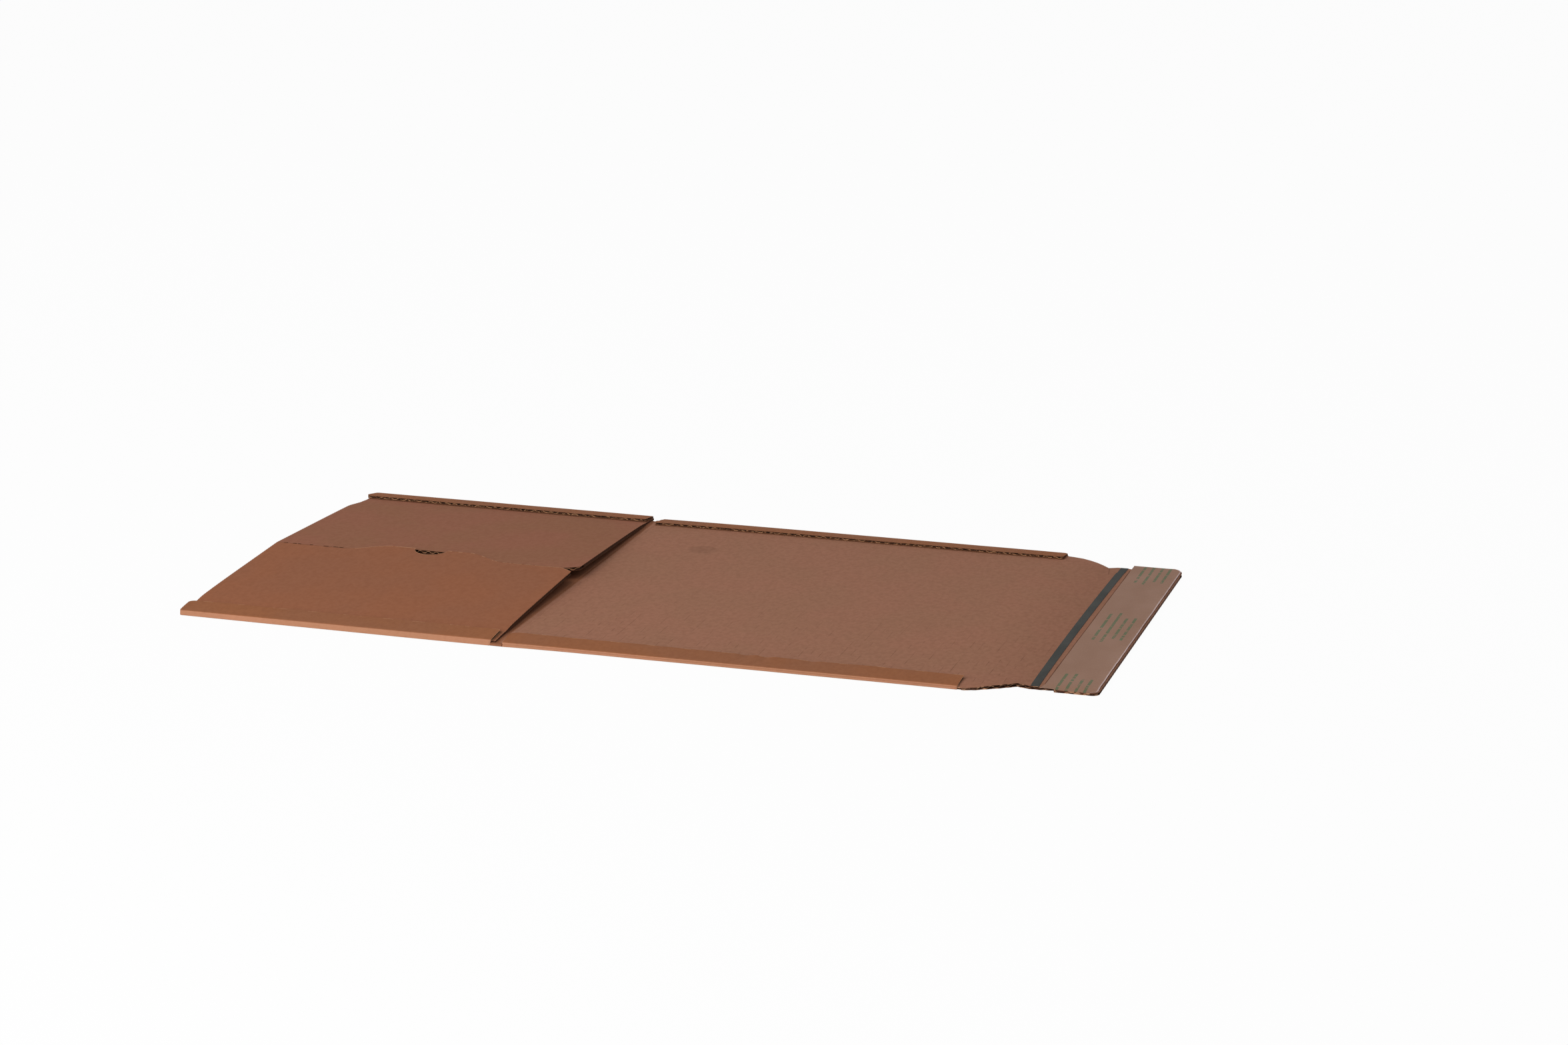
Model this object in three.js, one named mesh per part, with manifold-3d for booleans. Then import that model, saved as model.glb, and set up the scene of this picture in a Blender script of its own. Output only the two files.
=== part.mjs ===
import * as THREE from 'three';
import { mergeVertices } from 'three/addons/utils/BufferGeometryUtils.js';
import Module from 'manifold-3d';

// Wraparound mailer of corrugated board, lying open: a pocket with two doors on the left,
// the wrap panel with its tear tape and self-seal closure on the right.
// Everything is laid out in millimetres: x runs along the wrap from the pocket's left end,
// y runs away from the near fold, z is up from the table.

const wasm = await Module();
wasm.setup();

// Format of the blank
const WIDTH = 353;
const POCKET_HEM_LENGTH = 222.3;
const SPINE_X = 228.3;
const SPINE_CLEARANCE = 0.4;
const WRAP_HEM_SETBACK = 2.5;
const WRAP_HEM_LENGTH = 307.7;
const HEM_WIDTH = 19.5;
const CLOSURE_LENGTH = 88.9;

// Board: two liners with a fluted medium between them
const BOARD = 2.5;
const LINER = 0.35;
const MEDIUM = 0.3;
const FLUTE_PITCH = 6.4;
const FLUTE_START = 3.3;
const FLUTE_FOOT = 2.15;
const FLUTE_CREST = 0.95;

// Folds press the board thin, and it is full again this far from the fold
const PRESS_WIDTH = 12;
const FOLD_RADIUS = 1;
const FOLD_ROUND_STEPS = 3;
const WRAP_FOLD_LAYER = 1.45;
const POCKET_FOLD_LAYER = 1.3;
const POCKET_PRESSED_BASE = 2;
const POCKET_PRESSED_MARGIN = 1.8;
const HEM_RAW_EDGE = 1.95;
const HEM_BLIND_EDGE = 1.35;
const HEM_FLUTE_DEPTH = 13;
const HEM_FOLD_CORNER = 3;
const HEM_CUT_CORNER = 1;
const HEM_RAW_CORNER = 2;
const SPINE_HEM_CORNER = 6;

// Pocket doors
const DOOR_LEFT = 0.8;
const NEAR_DOOR_RIGHT = 224.8;
const FAR_DOOR_RIGHT = 226;
const DOOR_ROOT = 1.5;
const DOOR_PRESS_WIDTH = 22;
const DOOR_ROOT_GAP = 0.3;
const HINGE_GAP = 0.9;
const SEAM_Y = 163.3;
const SEAM_GAP = 0.7;
const RIDGE_TOP = 11.1;
const TONGUE_CENTRE = 112.8;
const TONGUE_HALF_WIDTH = 28.6;
const TONGUE_SHOULDER = 31.5;
const TONGUE_SHOULDER_PULL = 13.2;
const TONGUE_REACH = 14.3;
const NOTCH_CENTRE = 113.5;
const NOTCH_RADIUS = 12;
const NICK_COUNT = 8;
const NICK_PITCH = 6.1;
const NICK_WIDTH = 1.6;
const NICK_REACH = 0.25;
const NICK_START = 6.5;
const CORNER_CUT_LENGTH = 8.3;
const CORNER_CUT_DEPTH = 6.3;
const CORNER_ROUND = 9;
const NEAR_SHOULDER_INSET = 1.2;
const NEAR_SHOULDER_LENGTH = 14;
const FAR_SHOULDER_INSET = 3.4;
const FAR_SHOULDER_LENGTH = 17;
const FAR_SHOULDER_SLOPE = 15;

// Closure end of the wrap panel
const CLOSURE_EDGE_NEAR = 14.3;
const CLOSURE_EDGE_FAR = 19.5;
const CLOSURE_CORNER = 5;
const NEAR_CURVE_START = 4.5;
const NEAR_CURVE_PULL_X = 17.7;
const NEAR_CURVE_PULL_Y = 4.7;
const FAR_CURVE_DROP = 6.5;
const FAR_CURVE_PULL_X = 19.5;
const FAR_CURVE_PULL_Y = 9.8;
const CUSP_OFFSET = 35.5;
const NEAR_CUSP = 18.8;
const FAR_CUSP = 31.2;
const NEAR_STEP_OFFSET = 59.3;
const FAR_STEP_OFFSET = 53;
const STEP_LEAN = 1;
const TEAR_ZONE_BULGE = 3;
const SLIT_LENGTH = 16;
const SLIT_WIDTH = 0.4;
const SLIT_LEAN = 3.2;
const FIRST_OPEN_FLUTE_OFFSET = 17.7;

// Strips on the wrap panel
const TEAR_TAPE_OFFSET = 44.2;
const TEAR_TAPE_WIDTH = 5.6;
const TEAR_TAPE_THICKNESS = 0.25;
const TEAR_TAPE_BOW = 1.2;
const TEAR_TAPE_SETBACK = 0.6;
const STRIP_OFFSET = 52.2;
const STRIP_WIDTH = 31;
const STRIP_SETBACK = 4;
const STRIP_THICKNESS = 0.125;
const RELEASE_OFFSET = 52.9;
const RELEASE_RIGHT_SETBACK = 0.8;
const RELEASE_EDGE_SETBACK = 0.3;
const RELEASE_THICKNESS = 0.125;

// How far a cutting shape runs past what it cuts, and how finely curves are divided
const CUT_MARGIN = 1;
const MERGE_DISTANCE = 1e-5;
const CORNER_SEGMENTS = 3;
const CURVE_SEGMENTS = 8;
const NOTCH_SEGMENTS = 14;

// Worked out from the sizes above
const WRAP_START = SPINE_X + SPINE_CLEARANCE / 2;
const BASE_END = SPINE_X - SPINE_CLEARANCE / 2;
const WRAP_HEM_START = SPINE_X + WRAP_HEM_SETBACK;
const WRAP_HEM_END = WRAP_HEM_START + WRAP_HEM_LENGTH;
const TOTAL_LENGTH = WRAP_HEM_END + CLOSURE_LENGTH;
const CUSP_X = WRAP_HEM_END + CUSP_OFFSET;
const FAR_CUSP_Y = WIDTH - FAR_CUSP;
const CLOSURE_FAR_Y = WIDTH - CLOSURE_EDGE_FAR;
const DOOR_TOP = POCKET_PRESSED_BASE + DOOR_ROOT_GAP + DOOR_ROOT;
const NEAR_HINGE_Y = HEM_WIDTH + HINGE_GAP;
const FAR_HINGE_Y = WIDTH - NEAR_HINGE_Y;

const MATERIALS = {
  kraft: new THREE.MeshStandardMaterial({ name: 'kraft', color: '#9c6a48', roughness: 0.9 }),
  innerKraft: new THREE.MeshStandardMaterial({ name: 'inner_kraft', color: '#8c6450', roughness: 0.9 }),
  nearDoor: new THREE.MeshStandardMaterial({ name: 'near_door_kraft', color: '#96633f', roughness: 0.9 }),
  farDoor: new THREE.MeshStandardMaterial({ name: 'far_door_kraft', color: '#935f44', roughness: 0.9 }),
  tapeFilm: new THREE.MeshStandardMaterial({ name: 'tape_film', color: '#3c3c3a', roughness: 0.45 }),
  adhesive: new THREE.MeshStandardMaterial({ name: 'adhesive', color: '#a5673b', roughness: 0.35 }),
  siliconePaper: new THREE.MeshStandardMaterial({ name: 'silicone_paper', color: '#93705e', roughness: 0.5 }),
};

// Solids and meshes

function solidOf(vertices, triangles) {
  const mesh = new wasm.Mesh({
    numProp: 3,
    vertProperties: new Float32Array(vertices),
    triVerts: new Uint32Array(triangles),
  });
  return new wasm.Manifold(mesh);
}

// An extruded shape comes with a corner per face, which are merged into one body
function closedSolid(geometry) {
  geometry.deleteAttribute('normal');
  geometry.deleteAttribute('uv');
  const merged = mergeVertices(geometry, MERGE_DISTANCE);
  return solidOf(merged.attributes.position.array, merged.index.array);
}

function toGeometry(solid) {
  const mesh = solid.getMesh();
  const geometry = new THREE.BufferGeometry();
  geometry.setAttribute('position', new THREE.BufferAttribute(new Float32Array(mesh.vertProperties), 3));
  geometry.setIndex(new THREE.BufferAttribute(new Uint32Array(mesh.triVerts), 1));
  geometry.computeVertexNormals();
  return geometry;
}

// The same solid seen in a mirror that stands along x, halfway between y = 0 and y = span
function mirrored(solid, span) {
  const geometry = toGeometry(solid);
  geometry.applyMatrix4(new THREE.Matrix4().makeScale(1, -1, 1));
  geometry.translate(0, span, 0);
  const corners = geometry.index.array;
  const turned = [];
  for (let i = 0; i < corners.length; i += 3) turned.push(corners[i], corners[i + 2], corners[i + 1]);
  return solidOf(geometry.attributes.position.array, turned);
}

function unite(solids) {
  return solids.reduce((whole, piece) => whole.add(piece));
}

// A plan outline given in x and y, raised from one height to another
function planPrism(shape, zLow, zHigh, curveSegments = CURVE_SEGMENTS) {
  const depth = zHigh - zLow;
  const geometry = new THREE.ExtrudeGeometry(shape, { depth, bevelEnabled: false, curveSegments });
  geometry.translate(0, 0, zLow);
  return closedSolid(geometry);
}

function planBox(xLow, xHigh, yLow, yHigh, zLow, zHigh) {
  const corners = [[xLow, yLow], [xHigh, yLow], [xHigh, yHigh], [xLow, yHigh]];
  const shape = new THREE.Shape(corners.map(([x, y]) => new THREE.Vector2(x, y)));
  return planPrism(shape, zLow, zHigh);
}

// A cross-section given in y and z, run along x
function sectionPrism(points, xLow, xHigh) {
  const shape = new THREE.Shape(points.map(([y, z]) => new THREE.Vector2(y, z)));
  const geometry = new THREE.ExtrudeGeometry(shape, { depth: xHigh - xLow, bevelEnabled: false });
  const alongX = new THREE.Matrix4().makeBasis(
    new THREE.Vector3(0, 1, 0),
    new THREE.Vector3(0, 0, 1),
    new THREE.Vector3(1, 0, 0),
  );
  geometry.applyMatrix4(alongX);
  geometry.translate(xLow, 0, 0);
  return closedSolid(geometry);
}

// Corrugated core

// The open space of one flute: a flat-topped wave on a liner, lofted through stations along y.
// Each station gives y, the height of the liner's inner face and the signed rise to the crest.
function fluteSpace(xMid, stations) {
  const profile = [[-FLUTE_FOOT, 0], [-FLUTE_CREST, 1], [FLUTE_CREST, 1], [FLUTE_FOOT, 0]];
  const count = profile.length;
  const positions = [];
  for (const { y, z, rise } of stations) {
    for (const [x, share] of profile) positions.push(xMid + x, y, z + share * rise);
  }
  const triangles = [];
  for (let station = 0; station + 1 < stations.length; station += 1) {
    const a = station * count;
    const b = a + count;
    for (let i = 0; i < count; i += 1) {
      const j = (i + 1) % count;
      triangles.push([a + i, b + i, b + j], [a + i, b + j, a + j]);
    }
  }
  const last = (stations.length - 1) * count;
  for (let i = 1; i + 1 < count; i += 1) {
    triangles.push([0, i, i + 1], [last, last + i + 1, last + i]);
  }
  const hangs = stations[0].rise < 0;
  return solidOf(positions, triangles.flatMap(([a, b, c]) => (hangs ? [a, b, c] : [a, c, b])));
}

// Every flute between two places along x, standing and hanging in turn on the two liners.
// The layer is a list of stations with y, the layer's bottom and its top.
function fluteSpaces(xLow, xHigh, layer) {
  const rise = ({ bottom, top }) => top - bottom - 2 * LINER - MEDIUM;
  const standing = layer.map((station) => ({ y: station.y, z: station.bottom + LINER, rise: rise(station) }));
  const hanging = layer.map((station) => ({ y: station.y, z: station.top - LINER, rise: -rise(station) }));
  const halfPitch = FLUTE_PITCH / 2;
  const first = Math.ceil((xLow - FLUTE_FOOT - FLUTE_START) / halfPitch);
  const last = Math.floor((xHigh + FLUTE_FOOT - FLUTE_START) / halfPitch);
  const spaces = [];
  for (let half = first; half <= last; half += 1) {
    spaces.push(fluteSpace(FLUTE_START + half * halfPitch, half % 2 === 0 ? standing : hanging));
  }
  return unite(spaces);
}

// Folded hems

function arcPoints(cy, cz, radius, from, to) {
  const points = [];
  for (let step = 0; step <= FOLD_ROUND_STEPS; step += 1) {
    const angle = from + (to - from) * step / FOLD_ROUND_STEPS;
    points.push([cy + radius * Math.cos(angle), cz + radius * Math.sin(angle)]);
  }
  return points;
}

// Section of a near hem: rounded fold at y = 0, raw edge at the hem's width
function hemSection(foldHeight, rawTop) {
  return [
    [HEM_WIDTH, 0],
    [HEM_WIDTH, rawTop],
    ...arcPoints(FOLD_RADIUS, foldHeight - FOLD_RADIUS, FOLD_RADIUS, Math.PI / 2, Math.PI),
    ...arcPoints(FOLD_RADIUS, FOLD_RADIUS, FOLD_RADIUS, Math.PI, Math.PI * 1.5),
  ];
}

// Plan outline of a near hem with its own radius at each of its four corners
function hemOutline(xLow, xHigh, { leftFold, rightFold, rightRaw, leftRaw }) {
  const shape = new THREE.Shape();
  shape.moveTo(xLow + leftFold, 0);
  shape.lineTo(xHigh - rightFold, 0);
  shape.absarc(xHigh - rightFold, rightFold, rightFold, -Math.PI / 2, 0, false);
  shape.lineTo(xHigh, HEM_WIDTH - rightRaw);
  shape.absarc(xHigh - rightRaw, HEM_WIDTH - rightRaw, rightRaw, 0, Math.PI / 2, false);
  shape.lineTo(xLow + leftRaw, HEM_WIDTH);
  shape.absarc(xLow + leftRaw, HEM_WIDTH - leftRaw, leftRaw, Math.PI / 2, Math.PI, false);
  shape.lineTo(xLow, leftFold);
  shape.absarc(xLow + leftFold, leftFold, leftFold, Math.PI, Math.PI * 1.5, false);
  return shape;
}

// A near hem: layers folded over and glued down. Its flutes are open at the raw edge and are
// pressed ever flatter towards the fold, where they end blind.
function hem(xLow, xHigh, corners, foldHeight, rawTop) {
  const wedge = sectionPrism(hemSection(foldHeight, rawTop), xLow, xHigh);
  const plan = hemOutline(xLow, xHigh, corners);
  const outline = planPrism(plan, -CUT_MARGIN, rawTop + CUT_MARGIN, CORNER_SEGMENTS);
  const slope = (rawTop - foldHeight) / (HEM_WIDTH - FOLD_RADIUS);
  const blindTop = rawTop - slope * HEM_FLUTE_DEPTH;
  const layer = [
    { y: HEM_WIDTH - HEM_FLUTE_DEPTH, top: blindTop, bottom: blindTop - HEM_BLIND_EDGE },
    { y: HEM_WIDTH, top: rawTop, bottom: rawTop - HEM_RAW_EDGE },
    { y: HEM_WIDTH + CUT_MARGIN, top: rawTop, bottom: rawTop - HEM_RAW_EDGE },
  ];
  return wedge.intersect(outline).subtract(fluteSpaces(xLow, xHigh, layer));
}

// Section of a panel whose board is pressed at both folds, given by its tops from the fold inwards
function pressedSection(tops) {
  const edge = FOLD_RADIUS / 2;
  const nearHalf = [...tops.toReversed(), [0, edge], [edge, 0]];
  const farHalf = nearHalf.map(([y, z]) => [WIDTH - y, z]).reverse();
  return [...farHalf, ...nearHalf];
}

// Pocket: base panel, the doors' glued margins and the hems folded over them

function pocketMargin(xHigh) {
  const top = POCKET_PRESSED_BASE + POCKET_PRESSED_MARGIN;
  const inner = FOLD_RADIUS;
  const section = [[inner, inner], [HEM_WIDTH, inner], [HEM_WIDTH, top], [inner, 2 * POCKET_FOLD_LAYER]];
  return sectionPrism(section, DOOR_LEFT, xHigh);
}

function pocketBase() {
  const pressedTo = NEAR_HINGE_Y + DOOR_PRESS_WIDTH;
  const section = pressedSection([
    [0, POCKET_FOLD_LAYER],
    [PRESS_WIDTH, POCKET_PRESSED_BASE],
    [pressedTo, POCKET_PRESSED_BASE],
    [pressedTo + DOOR_PRESS_WIDTH, BOARD],
  ]);
  const slab = sectionPrism(section, DOOR_LEFT, BASE_END);
  const rawTop = POCKET_PRESSED_BASE + POCKET_PRESSED_MARGIN + HEM_RAW_EDGE;
  const corners = {
    leftFold: HEM_FOLD_CORNER,
    rightFold: HEM_CUT_CORNER,
    rightRaw: HEM_RAW_CORNER,
    leftRaw: HEM_RAW_CORNER,
  };
  const pocketHem = hem(0, POCKET_HEM_LENGTH, corners, 3 * POCKET_FOLD_LAYER, rawTop);
  const nearStack = pocketMargin(NEAR_DOOR_RIGHT).add(pocketHem);
  const farStack = mirrored(pocketMargin(FAR_DOOR_RIGHT).add(pocketHem), WIDTH);
  return unite([slab, nearStack, farStack]);
}

// Pocket doors, each laid out flat with its hinge line on y = 0 and its top on z = 0

function doorSection(length) {
  return [[0, -DOOR_ROOT], [DOOR_PRESS_WIDTH, -BOARD], [length, -BOARD], [length, 0], [0, 0]];
}

// The doors' meeting line, with the tongue's two S-shaped shoulders, from right to left
function addSeamLine(shape, yAtReach, xStart, xEnd) {
  const leftFoot = TONGUE_CENTRE - TONGUE_HALF_WIDTH - TONGUE_SHOULDER;
  const leftTop = TONGUE_CENTRE - TONGUE_HALF_WIDTH;
  const rightTop = TONGUE_CENTRE + TONGUE_HALF_WIDTH;
  const rightFoot = rightTop + TONGUE_SHOULDER;
  const pull = TONGUE_SHOULDER_PULL;
  const foot = yAtReach(0);
  const top = yAtReach(TONGUE_REACH);
  shape.lineTo(xStart, foot);
  shape.lineTo(rightFoot, foot);
  shape.bezierCurveTo(rightFoot - pull, foot, rightTop + pull, top, rightTop, top);
  shape.lineTo(leftTop, top);
  shape.bezierCurveTo(leftTop - pull, top, leftFoot + pull, foot, leftFoot, foot);
  shape.lineTo(xEnd, foot);
}

// Torn stubs of the cut-and-nick line that first held the two doors together
function nickTabs(seam) {
  const tabs = [];
  for (let nick = 0; nick < NICK_COUNT; nick += 1) {
    const x = NICK_START + nick * NICK_PITCH;
    tabs.push(planBox(x, x + NICK_WIDTH, seam - CUT_MARGIN, seam + NICK_REACH, -BOARD, 0));
  }
  return unite(tabs);
}

function doorBoard(xHigh, length, outline) {
  const slab = sectionPrism(doorSection(length), DOOR_LEFT, xHigh);
  return slab.intersect(planPrism(outline, -BOARD - CUT_MARGIN, CUT_MARGIN));
}

function doorFlutes(xHigh, length) {
  const layer = [DOOR_PRESS_WIDTH, length + CUT_MARGIN].map((y) => ({ y, bottom: -BOARD, top: 0 }));
  return fluteSpaces(DOOR_LEFT, xHigh, layer);
}

function nearDoor(slopeCosine) {
  const seam = (SEAM_Y - NEAR_HINGE_Y) / slopeCosine;
  const length = seam + TONGUE_REACH;
  const outline = new THREE.Shape();
  outline.moveTo(DOOR_LEFT + NEAR_SHOULDER_INSET, 0);
  outline.lineTo(NEAR_DOOR_RIGHT, 0);
  outline.lineTo(NEAR_DOOR_RIGHT, seam - CORNER_CUT_DEPTH);
  addSeamLine(outline, (reach) => seam + reach, NEAR_DOOR_RIGHT - CORNER_CUT_LENGTH, DOOR_LEFT);
  outline.lineTo(DOOR_LEFT, NEAR_SHOULDER_LENGTH);
  const notch = new THREE.Shape();
  notch.absarc(NOTCH_CENTRE, length, NOTCH_RADIUS, 0, Math.PI * 2, false);
  return doorBoard(NEAR_DOOR_RIGHT, length, outline)
    .add(nickTabs(seam))
    .subtract(doorFlutes(NEAR_DOOR_RIGHT, length))
    .subtract(planPrism(notch, -BOARD - CUT_MARGIN, CUT_MARGIN, NOTCH_SEGMENTS));
}

// The far door is laid out like the near one and then mirrored
function farDoor(slopeCosine) {
  const seam = (FAR_HINGE_Y - SEAM_Y - SEAM_GAP) / slopeCosine;
  const outline = new THREE.Shape();
  outline.moveTo(FAR_DOOR_RIGHT, 0);
  outline.lineTo(FAR_DOOR_RIGHT, seam - CORNER_ROUND);
  outline.quadraticCurveTo(FAR_DOOR_RIGHT, seam, FAR_DOOR_RIGHT - CORNER_ROUND, seam);
  addSeamLine(outline, (reach) => seam - reach, FAR_DOOR_RIGHT - CORNER_ROUND, DOOR_LEFT);
  outline.lineTo(DOOR_LEFT, FAR_SHOULDER_LENGTH + FAR_SHOULDER_SLOPE);
  outline.lineTo(DOOR_LEFT + FAR_SHOULDER_INSET, FAR_SHOULDER_LENGTH);
  outline.lineTo(DOOR_LEFT + FAR_SHOULDER_INSET, 0);
  const laid = doorBoard(FAR_DOOR_RIGHT, seam, outline).subtract(doorFlutes(FAR_DOOR_RIGHT, seam));
  return mirrored(laid, 0);
}

// Wrap panel with its two hems and the cut closure end

function closureOutline() {
  const nearStep = WRAP_HEM_END + NEAR_STEP_OFFSET;
  const farStep = WRAP_HEM_END + FAR_STEP_OFFSET;
  const nearEdge = CLOSURE_EDGE_NEAR;
  const farEdge = CLOSURE_FAR_Y;
  const end = TOTAL_LENGTH;
  const nearBulge = NEAR_CUSP - 2 * TEAR_ZONE_BULGE;
  const farBulge = FAR_CUSP_Y + 2 * TEAR_ZONE_BULGE;
  const farPullX = WRAP_HEM_END + FAR_CURVE_PULL_X;
  const farPullY = WIDTH - FAR_CURVE_PULL_Y;
  const shape = new THREE.Shape();
  shape.moveTo(WRAP_START, -CUT_MARGIN);
  shape.lineTo(WRAP_HEM_END + NEAR_CURVE_START, -CUT_MARGIN);
  shape.quadraticCurveTo(WRAP_HEM_END + NEAR_CURVE_PULL_X, NEAR_CURVE_PULL_Y, CUSP_X, NEAR_CUSP);
  shape.quadraticCurveTo((CUSP_X + nearStep) / 2, nearBulge, nearStep, NEAR_CUSP - STEP_LEAN);
  shape.lineTo(nearStep + STEP_LEAN, nearEdge);
  shape.lineTo(end - CLOSURE_CORNER, nearEdge);
  shape.quadraticCurveTo(end, nearEdge, end, nearEdge + CLOSURE_CORNER);
  shape.lineTo(end, farEdge - CLOSURE_CORNER);
  shape.quadraticCurveTo(end, farEdge, end - CLOSURE_CORNER, farEdge);
  shape.lineTo(farStep + STEP_LEAN, farEdge);
  shape.lineTo(farStep, FAR_CUSP_Y + 2 * STEP_LEAN);
  shape.quadraticCurveTo((CUSP_X + farStep) / 2, farBulge, CUSP_X + STEP_LEAN, FAR_CUSP_Y);
  shape.quadraticCurveTo(farPullX, farPullY, WRAP_HEM_END, WIDTH - FAR_CURVE_DROP);
  shape.lineTo(WRAP_HEM_END, WIDTH + CUT_MARGIN);
  shape.lineTo(WRAP_START, WIDTH + CUT_MARGIN);
  return shape;
}

function tearSlit() {
  const mouthX = CUSP_X + STEP_LEAN;
  const mouthY = FAR_CUSP_Y + CUT_MARGIN;
  const endY = FAR_CUSP_Y - SLIT_LENGTH;
  const slit = new THREE.Shape();
  slit.moveTo(mouthX, mouthY);
  slit.lineTo(mouthX + SLIT_LEAN, endY);
  slit.lineTo(mouthX + SLIT_LEAN + SLIT_WIDTH, endY);
  slit.lineTo(mouthX + SLIT_WIDTH, mouthY);
  return planPrism(slit, -CUT_MARGIN, BOARD + CUT_MARGIN);
}

// Flutes of the closure end, which shows its cut edges: they narrow towards the pressed folds
function closureFlutes() {
  const edgeTop = (WRAP_FOLD_LAYER + BOARD) / 2;
  const layer = [
    { y: PRESS_WIDTH / 2, bottom: 0, top: edgeTop },
    { y: PRESS_WIDTH, bottom: 0, top: BOARD },
    { y: WIDTH - PRESS_WIDTH, bottom: 0, top: BOARD },
    { y: WIDTH - PRESS_WIDTH / 2, bottom: 0, top: edgeTop },
  ];
  return fluteSpaces(WRAP_HEM_END + FIRST_OPEN_FLUTE_OFFSET, TOTAL_LENGTH, layer);
}

function wrapPanel() {
  const section = pressedSection([[0, WRAP_FOLD_LAYER], [PRESS_WIDTH, BOARD]]);
  const outline = planPrism(closureOutline(), -CUT_MARGIN, BOARD + CUT_MARGIN);
  const panel = sectionPrism(section, WRAP_START, TOTAL_LENGTH)
    .intersect(outline)
    .subtract(closureFlutes())
    .subtract(tearSlit());
  const rawTop = BOARD + HEM_RAW_EDGE;
  const foldHeight = 2 * WRAP_FOLD_LAYER;
  const nearCorners = {
    leftFold: HEM_CUT_CORNER,
    rightFold: HEM_CUT_CORNER,
    rightRaw: HEM_RAW_CORNER,
    leftRaw: SPINE_HEM_CORNER,
  };
  const farCorners = {
    leftFold: HEM_FOLD_CORNER,
    rightFold: HEM_FOLD_CORNER,
    rightRaw: HEM_RAW_CORNER,
    leftRaw: HEM_RAW_CORNER,
  };
  const nearHem = hem(WRAP_HEM_START, WRAP_HEM_END, nearCorners, foldHeight, rawTop);
  const farHem = mirrored(hem(WRAP_HEM_START, WRAP_HEM_END, farCorners, foldHeight, rawTop), WIDTH);
  return unite([panel, nearHem, farHem]);
}

// Strips laid on the wrap panel's inside face

function tearTape() {
  const left = WRAP_HEM_END + TEAR_TAPE_OFFSET;
  const right = left + TEAR_TAPE_WIDTH;
  const near = NEAR_CUSP - TEAR_ZONE_BULGE + TEAR_TAPE_SETBACK;
  const far = FAR_CUSP_Y + TEAR_ZONE_BULGE - TEAR_TAPE_SETBACK;
  const shape = new THREE.Shape();
  shape.moveTo(left, near);
  shape.lineTo(right, near);
  shape.quadraticCurveTo(right - 2 * TEAR_TAPE_BOW, WIDTH / 2, right, far);
  shape.lineTo(left, far);
  shape.quadraticCurveTo(left - 2 * TEAR_TAPE_BOW, WIDTH / 2, left, near);
  return planPrism(shape, BOARD, BOARD + TEAR_TAPE_THICKNESS);
}

function adhesiveStrip() {
  const left = WRAP_HEM_END + STRIP_OFFSET;
  const near = NEAR_CUSP + STRIP_SETBACK;
  const far = FAR_CUSP_Y - STRIP_SETBACK;
  return planBox(left, left + STRIP_WIDTH, near, far, BOARD, BOARD + STRIP_THICKNESS);
}

function releaseLiner() {
  const left = WRAP_HEM_END + RELEASE_OFFSET;
  const right = TOTAL_LENGTH - RELEASE_RIGHT_SETBACK;
  const nearStep = WRAP_HEM_END + NEAR_STEP_OFFSET + STEP_LEAN + RELEASE_EDGE_SETBACK;
  const near = CLOSURE_EDGE_NEAR + RELEASE_EDGE_SETBACK;
  const far = CLOSURE_FAR_Y - RELEASE_EDGE_SETBACK;
  const corner = CLOSURE_CORNER - RELEASE_RIGHT_SETBACK;
  const shape = new THREE.Shape();
  shape.moveTo(left, NEAR_CUSP);
  shape.lineTo(nearStep, NEAR_CUSP);
  shape.lineTo(nearStep, near);
  shape.lineTo(right - corner, near);
  shape.quadraticCurveTo(right, near, right, near + corner);
  shape.lineTo(right, far - corner);
  shape.quadraticCurveTo(right, far, right - corner, far);
  shape.lineTo(left, far);
  const zLow = BOARD + STRIP_THICKNESS;
  return planPrism(shape, zLow, zLow + RELEASE_THICKNESS);
}

// Assembly

function namedMesh(name, solid, material) {
  const mesh = new THREE.Mesh(toGeometry(solid), material);
  mesh.name = name;
  return mesh;
}

// A door rises from its hinge line to the ridge where the two doors meet.
// Its own surface is as much longer than its plan as the slope's cosine says.
function raisedDoor(name, build, material, hingeY) {
  const span = SEAM_Y - hingeY;
  const slope = Math.atan2(RIDGE_TOP - DOOR_TOP, Math.abs(span));
  const mesh = namedMesh(name, build(Math.cos(slope)), material);
  mesh.rotation.x = Math.sign(span) * slope;
  mesh.position.set(0, hingeY, DOOR_TOP);
  return mesh;
}

const mailer = new THREE.Group();
mailer.name = 'wraparound_mailer';
mailer.add(namedMesh('pocket_base', pocketBase(), MATERIALS.kraft));
mailer.add(raisedDoor('near_door', nearDoor, MATERIALS.nearDoor, NEAR_HINGE_Y));
mailer.add(raisedDoor('far_door', farDoor, MATERIALS.farDoor, FAR_HINGE_Y));
mailer.add(namedMesh('wrap_panel', wrapPanel(), MATERIALS.innerKraft));
mailer.add(namedMesh('tear_tape', tearTape(), MATERIALS.tapeFilm));
mailer.add(namedMesh('adhesive_strip', adhesiveStrip(), MATERIALS.adhesive));
mailer.add(namedMesh('release_liner', releaseLiner(), MATERIALS.siliconePaper));
mailer.position.set(-TOTAL_LENGTH / 2, -WIDTH / 2, 0);

export default mailer;
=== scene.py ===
"""Wraparound mailer of corrugated board, lying open: pocket with two doors, wrap panel and closure.

Lengths are in millimetres in the mailer's own plan (x from the pocket's left end, y from the
near fold, z from the table) and are turned into the frame's metres when a mesh is made.
"""

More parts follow.
